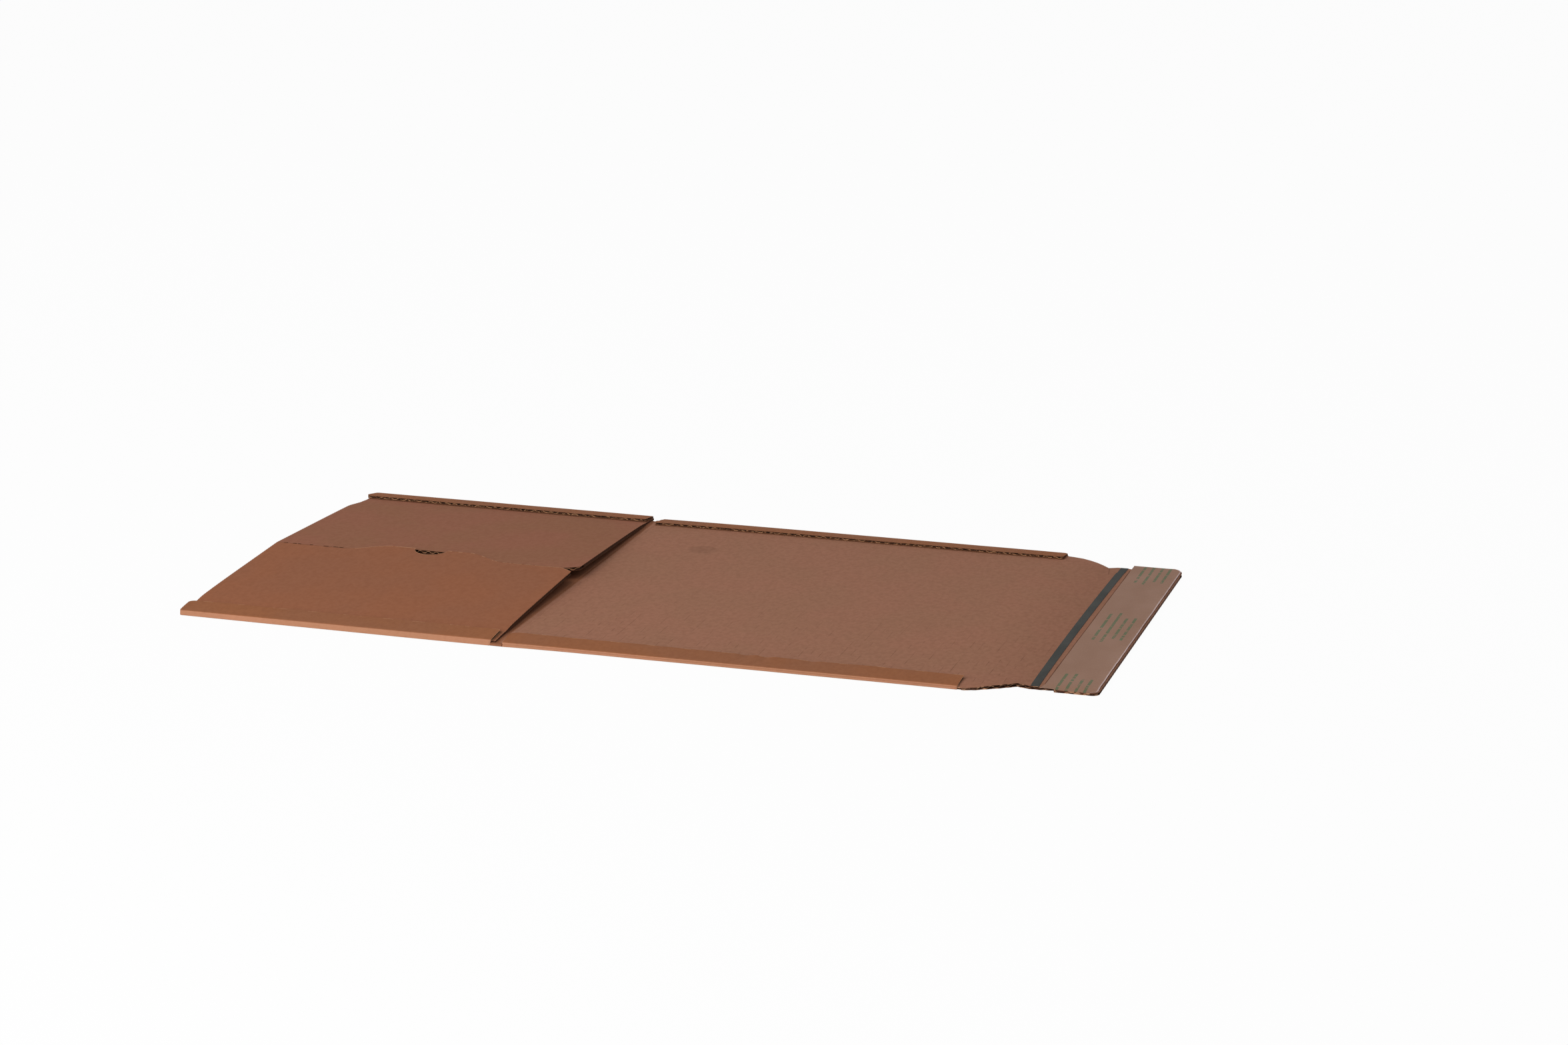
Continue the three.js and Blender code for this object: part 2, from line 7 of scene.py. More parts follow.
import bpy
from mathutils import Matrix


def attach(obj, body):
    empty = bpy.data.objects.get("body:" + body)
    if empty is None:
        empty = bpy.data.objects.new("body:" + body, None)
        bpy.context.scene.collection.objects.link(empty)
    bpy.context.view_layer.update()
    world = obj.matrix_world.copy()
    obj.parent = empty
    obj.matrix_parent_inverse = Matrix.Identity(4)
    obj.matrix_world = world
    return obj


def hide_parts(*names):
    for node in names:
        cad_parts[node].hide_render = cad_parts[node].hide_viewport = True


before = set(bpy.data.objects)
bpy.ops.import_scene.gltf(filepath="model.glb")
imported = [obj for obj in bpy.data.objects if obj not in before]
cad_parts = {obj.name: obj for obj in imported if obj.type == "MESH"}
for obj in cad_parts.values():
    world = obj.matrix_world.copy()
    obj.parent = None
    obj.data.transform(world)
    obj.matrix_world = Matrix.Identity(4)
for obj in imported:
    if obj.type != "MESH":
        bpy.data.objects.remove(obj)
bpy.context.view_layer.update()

import logging
import math
from dataclasses import dataclass, field
from enum import Enum
from typing import Callable, Sequence

import bpy
import numpy as np
from mathutils import Matrix, Vector

LOG = logging.getLogger("mailer")
PLAN_ORIGIN = np.array([313.7, 176.5, 0.0])
WIDTH = 353.0
HEM_WIDTH = 19.5
SPINE = 228.3

Array = np.ndarray
Surface = Callable[[Array, Array], Array]
Edge = Callable[[Array], Array]
Color = tuple[float, float, float, float]


def srgb(red: int, green: int, blue: int) -> Color:
    """Turns a screen colour into a linear one.

    Args:
        red: 0 to 255.
        green: 0 to 255.
        blue: 0 to 255.

    Returns:
        Linear red, green, blue and an alpha of 1.
    """
    parts = [c / 255.0 for c in (red, green, blue)]
    linear = [c / 12.92 if c <= 0.04045 else ((c + 0.055) / 1.055) ** 2.4 for c in parts]
    return (linear[0], linear[1], linear[2], 1.0)


def wander(x: Array, length: float, seed: int) -> Array:
    """A smooth irregular line between about -1 and 1.

    The sum of five sines whose wavelengths run from the length down to a fifth of it.

    Args:
        x: Places along the line.
        length: The longest wavelength.
        seed: Picks the phases.

    Returns:
        The line's value at each place.
    """
    rng = np.random.default_rng(seed)
    total = np.zeros_like(np.asarray(x, dtype=float))
    for order in range(1, 6):
        phase = rng.uniform(0.0, 2.0 * math.pi)
        stretch = rng.uniform(0.8, 1.25)
        total = total + np.sin(2.0 * math.pi * order * stretch * x / length + phase) / order
    return total / 1.8


def dense_ends(start: float, end: float, step: float, corner: float) -> Array:
    """Places from start to end, an even step apart and closer within a corner's length of each end.

    Args:
        start: The first place.
        end: The last place.
        step: The even step.
        corner: Length of the closer stretch.

    Returns:
        Rising places.
    """
    curve = corner * (1.0 - np.cos(np.linspace(0.0, math.pi / 2.0, 7)))
    middle = np.arange(start + corner, end - corner, step)
    return np.unique(np.round(np.concatenate([start + curve, middle, end - curve]), 4))


def corner_inset(x: Array, start: float, end: float, left: float, right: float) -> Array:
    """How far a rounded corner draws a straight side in.

    For a radius R at distance d < R from the end, the inset is R - sqrt(R^2 - (R - d)^2).

    Args:
        x: Places along the side.
        start: The side's left end.
        end: The side's right end.
        left: Radius at the left end.
        right: Radius at the right end.

    Returns:
        The inset at each place.
    """
    inset = np.zeros_like(x)
    for distance, radius in ((x - start, left), (end - x, right)):
        if radius > 0.0:
            run = np.clip(radius - distance, 0.0, radius)
            inset = inset + radius - np.sqrt(radius**2 - run**2)
    return inset


class Slot(Enum):
    """The material slots that a board piece has."""

    TOP = 0
    UNDER = 1
    MEDIUM = 2
    # CORE: the board's inside, whose finish paints the shade there.
    CORE = 3
    # SIDE: crushed cut edges, darkened as painted shade.
    SIDE = 4
    PALE = 5
    # LIT_FOLD: the hem fold's front, which gets a lighter copy of the kraft as painted light.
    LIT_FOLD = 6
    # DULL: lower cut edges, darkened as painted shade.
    DULL = 7


class PieceMesh:
    """Collects closed shells, in plan millimetres, and makes one Blender object of them."""

    def __init__(self, name: str) -> None:
        """Starts an empty piece with its name."""
        self.name = name
        self.points: list[Array] = []
        self.quads: list[Array] = []
        self.slots: list[Array] = []
        self.count = 0

    def add(self, points: Array, quads: Array, slots: Array) -> None:
        """Adds points and quads with a material slot for each quad."""
        self.points.append(points)
        self.quads.append(quads + self.count)
        self.slots.append(slots)
        self.count += len(points)

    def shell(self, upper: Array, lower: Array, top: Slot, under: Slot, side: Slot,
              marks: "Sequence[tuple[Array, Slot]]" = ()) -> None:
        """Adds the closed shell between two grids.

        The grids have rows along y and columns along x. The upper grid faces up, the lower one
        faces down, and a strip of quads closes their common border.

        Args:
            upper: Grid of points, rows by columns by 3.
            lower: Grid of the same shape.
            top: Slot of the upper face.
            under: Slot of the lower face.
            side: Slot of the border.
            marks: Slots of their own for quads of the upper face, each with a grid of booleans.
        """
        rows, cols = upper.shape[:2]
        index = np.arange(rows * cols).reshape(rows, cols)
        a, b = index[:-1, :-1].ravel(), index[:-1, 1:].ravel()
        c, d = index[1:, 1:].ravel(), index[1:, :-1].ravel()
        upper_quads = np.stack([a, b, c, d], axis=1)
        lower_quads = np.stack([d, c, b, a], axis=1) + rows * cols
        rim = np.concatenate([index[0, :-1], index[:-1, -1], index[-1, :0:-1], index[:0:-1, 0]])
        following = np.roll(rim, -1)
        offset = rows * cols
        side_quads = np.stack([rim + offset, following + offset, following, rim], axis=1)
        quads = np.concatenate([upper_quads, lower_quads, side_quads])
        counts = (len(upper_quads), len(lower_quads), len(side_quads))
        slots = np.repeat([top.value, under.value, side.value], counts)
        for marked, slot in marks:
            slots[:counts[0]][marked.ravel()] = slot.value
        points = np.concatenate([upper.reshape(-1, 3), lower.reshape(-1, 3)])
        self.add(points, quads, slots)

    def make(self, finishes: Sequence[bpy.types.Material]) -> bpy.types.Object:
        """Turns what was collected into an object at the origin.

        Args:
            finishes: The materials, in the order of the slots.

        Returns:
            The new object.
        """
        points = (np.concatenate(self.points) - PLAN_ORIGIN) / 1000.0
        quads = np.concatenate(self.quads)
        mesh = bpy.data.meshes.new(self.name)
        mesh.vertices.add(len(points))
        mesh.vertices.foreach_set("co", points.astype(np.float32).ravel())
        mesh.loops.add(quads.size)
        mesh.loops.foreach_set("vertex_index", quads.astype(np.int32).ravel())
        mesh.polygons.add(len(quads))
        mesh.polygons.foreach_set("loop_start", np.arange(0, quads.size, 4, dtype=np.int32))
        mesh.polygons.foreach_set("material_index", np.concatenate(self.slots).astype(np.int32))
        for finish in finishes:
            mesh.materials.append(finish)
        mesh.update(calc_edges=True)
        mesh.validate()
        mesh.shade_smooth()
        mesh.set_sharp_from_angle(angle=math.radians(32.0))
        piece = bpy.data.objects.new(self.name, mesh)
        bpy.context.scene.collection.objects.link(piece)
        return piece


def mirrored_far(points: Array) -> Array:
    """The same points on the far side of the blank, with y turned into the width less y."""
    turned = points.copy()
    turned[..., 1] = WIDTH - turned[..., 1]
    return turned[::-1]


@dataclass(frozen=True)
class Board:
    """Corrugated board: two liners with a fluted medium between them."""

    liner: float = 0.34
    medium: float = 0.4
    pitch: float = 6.4
    start: float = 0.1
    samples: int = 16
    crush: float = 0.14

    def grid(self, columns: Array, near: Edge, far: Edge, rows: int) -> tuple[Array, Array]:
        """Plan grid between two edges: x is the column's, y runs evenly from near(x) to far(x).

        Args:
            columns: Places along x.
            near: The near edge.
            far: The far edge.
            rows: Number of rows.

        Returns:
            The grids of x and of y.
        """
        share = np.linspace(0.0, 1.0, rows)[:, None]
        low, high = near(columns)[None, :], far(columns)[None, :]
        x = np.broadcast_to(columns[None, :], (rows, len(columns)))
        return x.copy(), low + share * (high - low)

    def sheet(self, mesh: PieceMesh, x: Array, y: Array, z: Array, thickness: float,
              top: Slot, under: Slot, side: Slot, marks: "Sequence[tuple[Array, Slot]]" = ()) -> None:
        """Adds one sheet of paper whose upper face is at z and whose lower face is below it.

        Rows that run towards the near side are turned round first, so that the faces point out.
        """
        upper = np.stack([x, y, z], axis=-1)
        lower = np.stack([x, y, z - thickness], axis=-1)
        if y[0, 0] > y[-1, 0]:
            upper, lower = upper[::-1], lower[::-1]
            marks = [(marked[::-1], slot) for marked, slot in marks]
        mesh.shell(upper, lower, top, under, side, marks)

    def roll(self, mesh: PieceMesh, start: float, end: float, height: float, edge: float, far: bool,
             slot: Slot = Slot.TOP) -> None:
        """Adds the rounded edge where the outer liner turns at the end of a score.

        Over t = y / 1.1, y counted from the edge, the faces are height / 2 (1 +- sqrt(1 - (1 - t)^2)),
        flat beyond t = 1.

        Args:
            mesh: The piece it goes to.
            start: Left end.
            end: Right end.
            height: Its full height.
            edge: Where it starts along y, from the blank's edge.
            far: Whether it is at the far side.
            slot: Its material slot.
        """
        y_line = np.array([0.0, 0.01, 0.04, 0.1, 0.2, 0.35, 0.6, 0.9, 1.1, 3.6])
        x, _ = np.meshgrid(np.linspace(start, end, 6), y_line)
        y = np.broadcast_to(y_line[:, None] + edge, x.shape)
        run = np.clip((y_line + 0.003) / 1.1, 0.0, 1.0)[:, None]
        half = np.broadcast_to(height / 2.0 * np.sqrt(1.0 - (1.0 - run) ** 2), x.shape)
        upper = np.stack([x, y, height / 2.0 + half], axis=-1)
        lower = np.stack([x, y, height / 2.0 - half], axis=-1)
        if far:
            upper, lower = mirrored_far(upper), mirrored_far(lower)
        mesh.shell(upper, lower, slot, slot, slot)

    def flutes(self, mesh: PieceMesh, start: float, end: float, outer: Edge, inner: Edge,
               top: Surface, bottom: Surface, seed: int) -> None:
        """Adds the fluted medium along a cut edge.

        The medium's middle is halfway between the liners, and it rises and falls from there by
        a sin(2 pi x / pitch), a being what fits between the liners. Crushing makes a wander.

        Args:
            mesh: The piece it goes to.
            start: Left end.
            end: Right end.
            outer: Where the medium is cut.
            inner: Where it passes out of sight.
            top: The board's upper face.
            bottom: The board's lower face.
            seed: Picks the crushing.
        """
        x_line = np.arange(start, end, self.pitch / self.samples)
        x, y = self.grid(x_line, lambda v: np.minimum(outer(v), inner(v)),
                         lambda v: np.maximum(outer(v), inner(v)), 5)
        high = top(x, y) - self.liner
        low = bottom(x, y) + self.liner
        room = np.maximum(high - low - self.medium, 0.02)
        crush = 1.0 - self.crush * (np.abs(wander(x, 61.0, seed)) + np.abs(wander(x, 17.0, seed + 1)))
        drift = 3.0 * self.crush * wander(x, 50.0, seed + 2)
        wave = np.sin(2.0 * math.pi * (x - self.start) / self.pitch + drift)
        wave = np.sign(wave) * np.abs(wave) ** 0.8
        z = (high + low) / 2.0 + self.medium / 2.0 + wave * crush * room / 2.0
        self.sheet(mesh, x, y, z, self.medium, Slot.MEDIUM, Slot.MEDIUM, Slot.MEDIUM)


CLEAR = 0.03
BOARD = Board()


@dataclass(frozen=True)
class KraftFinish:
    """Uncoated kraft liner: blotches, fibres, specks and the washboard of the flutes below."""

    name: str
    color: Color
    dark: Color
    tint: Color
    washboard: float = 0.25
    dashes: float = 0.0
    bump: float = 0.25
    roughness: float = 0.86
    blotch: float = 0.14
    # stain also turns on a painted shade that darkens the colour towards the closure end, and the painted slit.
    stain: bool = False

    def build(self) -> bpy.types.Material:
        """Builds the material.

        Returns:
            A material on Object coordinates. Its colour drifts between the liner's and a tint,
            darkened by faint blotches, fibres, thin dashes at the flute pitch and sparse specks.
        """
        material = bpy.data.materials.new(self.name)
        material.use_nodes = True
        tree = Nodes(material)
        place = tree.new("ShaderNodeTexCoord").outputs["Object"]
        x_only = tree.new("ShaderNodeSeparateXYZ", Vector=place)
        broad = tree.noise(tree.scaled(place, (18.0, 14.0, 18.0)), 1.0, 2.0)
        cloud = tree.noise(tree.scaled(place, (330.0, 190.0, 330.0)), 1.0, 4.0)
        fibre = tree.noise(tree.scaled(place, (420.0, 2600.0, 1500.0)), 1.0, 3.0)
        grain = tree.noise(tree.scaled(place, (2300.0, 2300.0, 2300.0)), 1.0, 2.0)
        phase = tree.math("MULTIPLY", x_only.outputs["X"], 2.0 * math.pi / 0.0064)
        wave = tree.math("SINE", phase)
        streak = tree.noise(tree.scaled(place, (820.0, 55.0, 0.0)), 1.0, 2.0)
        near_side = tree.ramp(x_only.outputs["Y"], 0.02, -0.14)
        dash = tree.math("MULTIPLY", tree.ramp(streak, 0.5, 0.62), near_side)
        trough = tree.math("MULTIPLY", tree.ramp(wave, 0.955, 0.99), dash)
        speck = tree.ramp(tree.noise(tree.scaled(place, (1300.0, 1300.0, 1300.0)), 1.0, 1.0), 0.7, 0.78)
        amount = tree.math("MULTIPLY", tree.ramp(cloud, 0.35, 0.7), self.blotch)
        amount = tree.math("ADD", amount, tree.math("MULTIPLY", tree.ramp(fibre, 0.42, 0.7), 0.2))
        amount = tree.math("ADD", amount, tree.math("MULTIPLY", trough, self.dashes))
        amount = tree.math("ADD", amount, tree.math("MULTIPLY", speck, 0.3))
        if self.stain:
            amount = tree.math("ADD", amount, self._stain(tree, place))
            # Painted shade: the colour darkens towards the closure end, as the light falls off to the right.
            closure = tree.math("MULTIPLY", tree.ramp(x_only.outputs["X"], 0.215, 0.275), 0.16)
            amount = tree.math("ADD", amount, closure)
            amount = tree.math("MAXIMUM", amount, self._slit(tree, x_only))
        ground = tree.mix(tree.ramp(broad, 0.35, 0.65), self.color, self.tint)
        color = tree.mix(amount, ground, self.dark)
        height = tree.math("MULTIPLY", wave, self.washboard)
        height = tree.math("ADD", height, tree.math("MULTIPLY", fibre, 0.5))
        height = tree.math("ADD", height, tree.math("MULTIPLY", grain, 0.35))
        shader = tree.shader
        tree.link(color, shader.inputs["Base Color"])
        rough = tree.math("ADD", tree.math("MULTIPLY", cloud, 0.14), self.roughness - 0.07)
        tree.link(rough, shader.inputs["Roughness"])
        shader.inputs["Specular IOR Level"].default_value = 0.15
        bump = tree.new("ShaderNodeBump", Height=height)
        bump.inputs["Strength"].default_value = self.bump
        bump.inputs["Distance"].default_value = 0.00006
        tree.link(bump.outputs["Normal"], shader.inputs["Normal"])
        return material

    def _stain(self, tree: "Nodes", place: bpy.types.NodeSocket) -> bpy.types.NodeSocket:
        """A faint round stain on the wrap panel, dark within a radius of about 11 mm."""
        shift = tree.new("ShaderNodeVectorMath", operation="SUBTRACT")
        tree.link(place, shift.inputs[0])
        shift.inputs[1].default_value = (-0.0279, 0.0985, 0.0025)
        length = tree.new("ShaderNodeVectorMath", operation="LENGTH")
        tree.link(shift.outputs["Vector"], length.inputs[0])
        inside = tree.ramp(length.outputs["Value"], 0.0125, 0.0085)
        return tree.math("MULTIPLY", inside, 0.2)

    def _slit(self, tree: "Nodes", axes: bpy.types.Node) -> bpy.types.NodeSocket:
        """The short tear cut that runs in from the far cusp, 0.5 mm wide and slanted, painted as a dark line: the
        shade inside the cut.
        """
        lean = tree.math("MULTIPLY", axes.outputs["Y"], 0.15)
        off = tree.math("SUBTRACT", tree.math("ADD", axes.outputs["X"], lean), 0.2836)
        line = tree.ramp(tree.math("ABSOLUTE", off), 0.0004, 0.0002)
        start = tree.math("GREATER_THAN", axes.outputs["Y"], 0.1281)
        return tree.math("MULTIPLY", tree.math("MULTIPLY", line, start), 0.7)


class Nodes:
    """Short ways to add nodes to a material."""

    def __init__(self, material: bpy.types.Material) -> None:
        """Takes the material whose tree is filled."""
        self.tree = material.node_tree
        self.shader = self.tree.nodes["Principled BSDF"]

    def link(self, source: bpy.types.NodeSocket, target: bpy.types.NodeSocket) -> None:
        """Links two sockets."""
        self.tree.links.new(source, target)

    def new(self, kind: str, operation: str = "", **inputs: bpy.types.NodeSocket) -> bpy.types.Node:
        """Adds a node and links the inputs that are given by name."""
        node = self.tree.nodes.new(kind)
        if operation:
            node.operation = operation
        for name, source in inputs.items():
            self.link(source, node.inputs[name])
        return node

    def math(self, operation: str, first: bpy.types.NodeSocket,
             second: "bpy.types.NodeSocket | float" = 0.0) -> bpy.types.NodeSocket:
        """One operation on a socket and a socket or number."""
        node = self.new("ShaderNodeMath", operation=operation)
        self.link(first, node.inputs[0])
        if isinstance(second, (int, float)):
            node.inputs[1].default_value = second
        else:
            self.link(second, node.inputs[1])
        return node.outputs["Value"]

    def scaled(self, place: bpy.types.NodeSocket, scale: tuple[float, float, float]) -> bpy.types.NodeSocket:
        """Coordinates with their own scale along each axis."""
        node = self.new("ShaderNodeMapping", Vector=place)
        node.inputs["Scale"].default_value = scale
        return node.outputs["Vector"]

    def noise(self, place: bpy.types.NodeSocket, scale: float, detail: float) -> bpy.types.NodeSocket:
        """Noise between 0 and 1."""
        node = self.new("ShaderNodeTexNoise", Vector=place)
        node.inputs["Scale"].default_value = scale
        node.inputs["Detail"].default_value = detail
        return node.outputs["Fac"]

    def ramp(self, value: bpy.types.NodeSocket, low: float, high: float) -> bpy.types.NodeSocket:
        """0 at the low value, 1 at the high one and smooth between them."""
        node = self.new("ShaderNodeMapRange", Value=value)
        node.interpolation_type = "SMOOTHSTEP"
        node.inputs["From Min"].default_value = low
        node.inputs["From Max"].default_value = high
        return node.outputs["Result"]

    def mix(self, amount: bpy.types.NodeSocket, first: "bpy.types.NodeSocket | Color",
            second: Color) -> bpy.types.NodeSocket:
        """A colour between a socket's or a given one and a second, by an amount."""
        node = self.tree.nodes.new("ShaderNodeMix")
        node.data_type = "RGBA"
        self.link(amount, node.inputs[0])
        if isinstance(first, tuple):
            node.inputs[6].default_value = first
        else:
            self.link(first, node.inputs[6])
        node.inputs[7].default_value = second
        return node.outputs[2]


@dataclass(frozen=True)
class CutPaperFinish:
    """Cut or torn paper at the board's edge, seen end on: pale fibres with dark hollows, whose shade is painted into
    the colour.
    """

    name: str
    color: Color
    dark: Color
    scale: float = 900.0
    low: float = 0.4
    high: float = 0.8

    def build(self) -> bpy.types.Material:
        """Builds the material on Object coordinates."""
        material = bpy.data.materials.new(self.name)
        material.use_nodes = True
        tree = Nodes(material)
        place = tree.new("ShaderNodeTexCoord").outputs["Object"]
        fine = tree.noise(tree.scaled(place, (self.scale, self.scale, self.scale * 2.0)), 1.0, 3.0)
        # The dark patches are painted shade of the hollows.
        tree.link(tree.mix(tree.ramp(fine, self.low, self.high), self.color, self.dark), tree.shader.inputs["Base Color"])
        tree.shader.inputs["Roughness"].default_value = 0.9
        tree.shader.inputs["Specular IOR Level"].default_value = 0.2
        bump = tree.new("ShaderNodeBump", Height=fine)
        bump.inputs["Strength"].default_value = 0.4
        bump.inputs["Distance"].default_value = 0.0001
        tree.link(bump.outputs["Normal"], tree.shader.inputs["Normal"])
        return material


@dataclass(frozen=True)
class FilmFinish:
    """Smooth strip on the board, a film or a siliconised paper, which shows the flutes faintly."""

    name: str
    color: Color
    dark: Color
    roughness: float
    specular: float
    bump: float = 0.15
    ink: "Color | None" = None
    rows: tuple[tuple[float, float, float], ...] = ()
    repeat: float = 153.5

    def build(self) -> bpy.types.Material:
        """Builds the material on Object coordinates."""
        material = bpy.data.materials.new(self.name)
        material.use_nodes = True
        tree = Nodes(material)
        place = tree.new("ShaderNodeTexCoord").outputs["Object"]
        broad = tree.noise(tree.scaled(place, (60.0, 30.0, 60.0)), 1.0, 3.0)
        fine = tree.noise(tree.scaled(place, (1500.0, 500.0, 1500.0)), 1.0, 2.0)
        blend = tree.math("MULTIPLY", tree.math("ADD", broad, fine), 0.5)
        color = tree.mix(tree.ramp(blend, 0.35, 0.65), self.color, self.dark)
        if self.ink is not None:
            color = tree.mix(self._bars(tree, place), color, self.ink)
        tree.link(color, tree.shader.inputs["Base Color"])
        rough = tree.math("ADD", tree.math("MULTIPLY", broad, 0.16), self.roughness - 0.08)
        tree.link(rough, tree.shader.inputs["Roughness"])
        tree.shader.inputs["Specular IOR Level"].default_value = self.specular
        bump = tree.new("ShaderNodeBump", Height=tree.math("ADD", broad, tree.math("MULTIPLY", fine, 0.2)))
        bump.inputs["Strength"].default_value = self.bump
        bump.inputs["Distance"].default_value = 0.0004
        tree.link(bump.outputs["Normal"], tree.shader.inputs["Normal"])
        return material

    def _bars(self, tree: Nodes, place: bpy.types.NodeSocket) -> bpy.types.NodeSocket:
        """Rows of short plain bars that run along y and repeat.

        A row's bars are where x is within 0.95 mm of the row's middle, where y less the row's
        start, taken modulo the repeat, is under its length, and where a noise along y is high.

        Args:
            tree: The material's nodes.
            place: Object coordinates.

        Returns:
            0 on bare paper, up to about 0.75 on a bar.
        """
        axes = tree.new("ShaderNodeSeparateXYZ", Vector=place)
        breaks = tree.noise(tree.scaled(place, (170.0, 330.0, 0.0)), 1.0, 1.0)
        word = tree.ramp(breaks, 0.37, 0.43)
        total = None
        for middle, start, length in self.rows:
            x_off = tree.math("SUBTRACT", axes.outputs["X"], (middle - PLAN_ORIGIN[0]) / 1000.0)
            across = tree.ramp(tree.math("ABSOLUTE", x_off), 0.00115, 0.0008)
            y_off = tree.math("SUBTRACT", axes.outputs["Y"], (start - PLAN_ORIGIN[1]) / 1000.0)
            turn = tree.math("FRACT", tree.math("MULTIPLY", y_off, 1000.0 / self.repeat))
            along = tree.math("LESS_THAN", turn, length / self.repeat)
            row = tree.math("MULTIPLY", across, along)
            total = row if total is None else tree.math("ADD", total, row)
        return tree.math("MULTIPLY", tree.math("MULTIPLY", total, word), 0.7)


@dataclass
class Finishes:
    """All materials of the mailer."""

    outside: bpy.types.Material = field(init=False)
    near_door: bpy.types.Material = field(init=False)
    far_door: bpy.types.Material = field(init=False)
    hem: bpy.types.Material = field(init=False)
    fold: bpy.types.Material = field(init=False)
    inside: bpy.types.Material = field(init=False)
    cut: bpy.types.Material = field(init=False)
    lit_cut_end: bpy.types.Material = field(init=False)
    closure_cut: bpy.types.Material = field(init=False)
    medium: bpy.types.Material = field(init=False)
    core: bpy.types.Material = field(init=False)
    side: bpy.types.Material = field(init=False)
    closure_side: bpy.types.Material = field(init=False)
    shaded_cut: bpy.types.Material = field(init=False)
    dull_medium: bpy.types.Material = field(init=False)
    dull_core: bpy.types.Material = field(init=False)
    tape: bpy.types.Material = field(init=False)
    release: bpy.types.Material = field(init=False)
    release_edge_highlight: bpy.types.Material = field(init=False)
    glue: bpy.types.Material = field(init=False)

    def __post_init__(self) -> None:
        """Builds each one."""
        self.outside = KraftFinish("kraft_outside", srgb(152, 99, 70), srgb(112, 70, 46),
                                   srgb(148, 98, 71)).build()
        self.hem = KraftFinish("kraft_hem", srgb(155, 98, 64), srgb(114, 70, 46), srgb(151, 98, 68),
                               washboard=0.12).build()
        # The fold is the hem's kraft made lighter: painted light on the fold's front, which faces the front lamp.
        self.fold = KraftFinish("kraft_fold_painted_light", srgb(181, 127, 98), srgb(155, 103, 76), srgb(177, 125, 95),
                                washboard=0.12).build()
        self.near_door = KraftFinish("kraft_near_door", srgb(156, 98, 68), srgb(114, 70, 48),
                                     srgb(153, 98, 70), washboard=0.15).build()
        self.far_door = KraftFinish("kraft_far_door", srgb(155, 100, 76), srgb(114, 74, 56),
                                    srgb(151, 101, 74), washboard=0.15).build()
        self.inside = KraftFinish("kraft_inside", srgb(167, 116, 92), srgb(104, 68, 50), srgb(164, 116, 91),
                                  washboard=0.3, dashes=0.45, stain=True).build()
        self.cut = CutPaperFinish("cut_liner", srgb(196, 144, 108), srgb(146, 98, 68)).build()
        # The hems' cut ends are brightened well past the cut liner: pale cut paper plus a painted highlight on faces
        # the lamps hardly reach.
        self.lit_cut_end = CutPaperFinish("cut_hem_end_painted_highlight", srgb(240, 198, 158), srgb(196, 148, 112)).build()
        # Large dark patches: painted shade of the flute holes and of the shadow line under the release liner's edge.
        self.closure_cut = CutPaperFinish("cut_closure", srgb(200, 150, 114), srgb(84, 52, 36), 300.0, 0.36,
                                          0.54).build()
        self.medium = CutPaperFinish("fluted_medium", srgb(192, 142, 106), srgb(120, 78, 52)).build()
        # Dark brown to black: painted shade inside the board, on the closed cores, in the flute holes and on the
        # liners' inner faces.
        self.core = CutPaperFinish("board_core_painted_shade", srgb(84, 50, 32), srgb(40, 22, 14)).build()
        # The crushed cut edge, made darker as painted shade on the doors' right edges and the cores' borders, which
        # face away from the lamps.
        self.side = CutPaperFinish("crushed_side_painted_shade", srgb(76, 46, 28), srgb(48, 27, 15)).build()
        self.closure_side = CutPaperFinish("closure_side", srgb(128, 90, 74), srgb(84, 54, 44)).build()
        # Cut liner darkened as painted shade: the contact shadow under the far hems' raw edges and along the doors'
        # lower liner edges.
        self.shaded_cut = CutPaperFinish("folded_liner_painted_shade", srgb(108, 70, 47), srgb(78, 48, 32)).build()
        # Sharp dark patches: painted shade of the flute holes behind the far hems' raw edges.
        self.dull_medium = CutPaperFinish("folded_medium", srgb(174, 130, 95), srgb(60, 36, 24), 380.0, 0.43, 0.57).build()
        # The far hems' core, lighter than the board's: painted shade of the pits behind their raw edges, kept light.
        self.dull_core = CutPaperFinish("folded_core_painted_shade", srgb(150, 96, 62), srgb(100, 60, 38)).build()
        self.tape = FilmFinish("tape_film", srgb(54, 54, 50), srgb(42, 43, 40), 0.6, 0.08).build()
        rows = ((600.0, 134.0, 69.0), (606.2, 130.5, 74.5), (612.5, 140.0, 53.5), (618.2, 138.0, 57.0))
        self.release = FilmFinish("silicone_paper", srgb(155, 118, 98), srgb(149, 113, 93), 0.6, 0.1,
                                  ink=srgb(62, 100, 66), rows=rows).build()
        # A pale line on the liner's lifted right border: a painted highlight.
        self.release_edge_highlight = FilmFinish("release_edge_highlight", srgb(200, 174, 170), srgb(180, 152, 146), 0.6, 0.1).build()
        self.glue = FilmFinish("hot_melt", srgb(112, 70, 48), srgb(90, 56, 38), 0.6, 0.04).build()

    def board(self, face: bpy.types.Material) -> list[bpy.types.Material]:
        """The finishes of a board's slots, with pale cut edges."""
        return [face, self.cut, self.medium, self.core, self.side, self.cut, face, self.shaded_cut]

    def closure(self, face: bpy.types.Material) -> list[bpy.types.Material]:
        """The finishes of the wrap panel's slots, with a reddish side."""
        return [face, self.closure_cut, self.closure_cut, self.core, self.closure_side, self.outside]

    def near_folded(self, face: bpy.types.Material) -> list[bpy.types.Material]:
        """The finishes of a near hem's slots, with pale cut ends brightened further as a painted highlight."""
        return [face, self.lit_cut_end, self.medium, self.core, self.side, self.cut, self.fold]

    def folded(self, face: bpy.types.Material) -> list[bpy.types.Material]:
        """The finishes of a far hem's slots, with dull cut edges darkened as painted shade."""
        return [face, self.shaded_cut, self.dull_medium, self.dull_core, self.side, self.cut, self.fold]


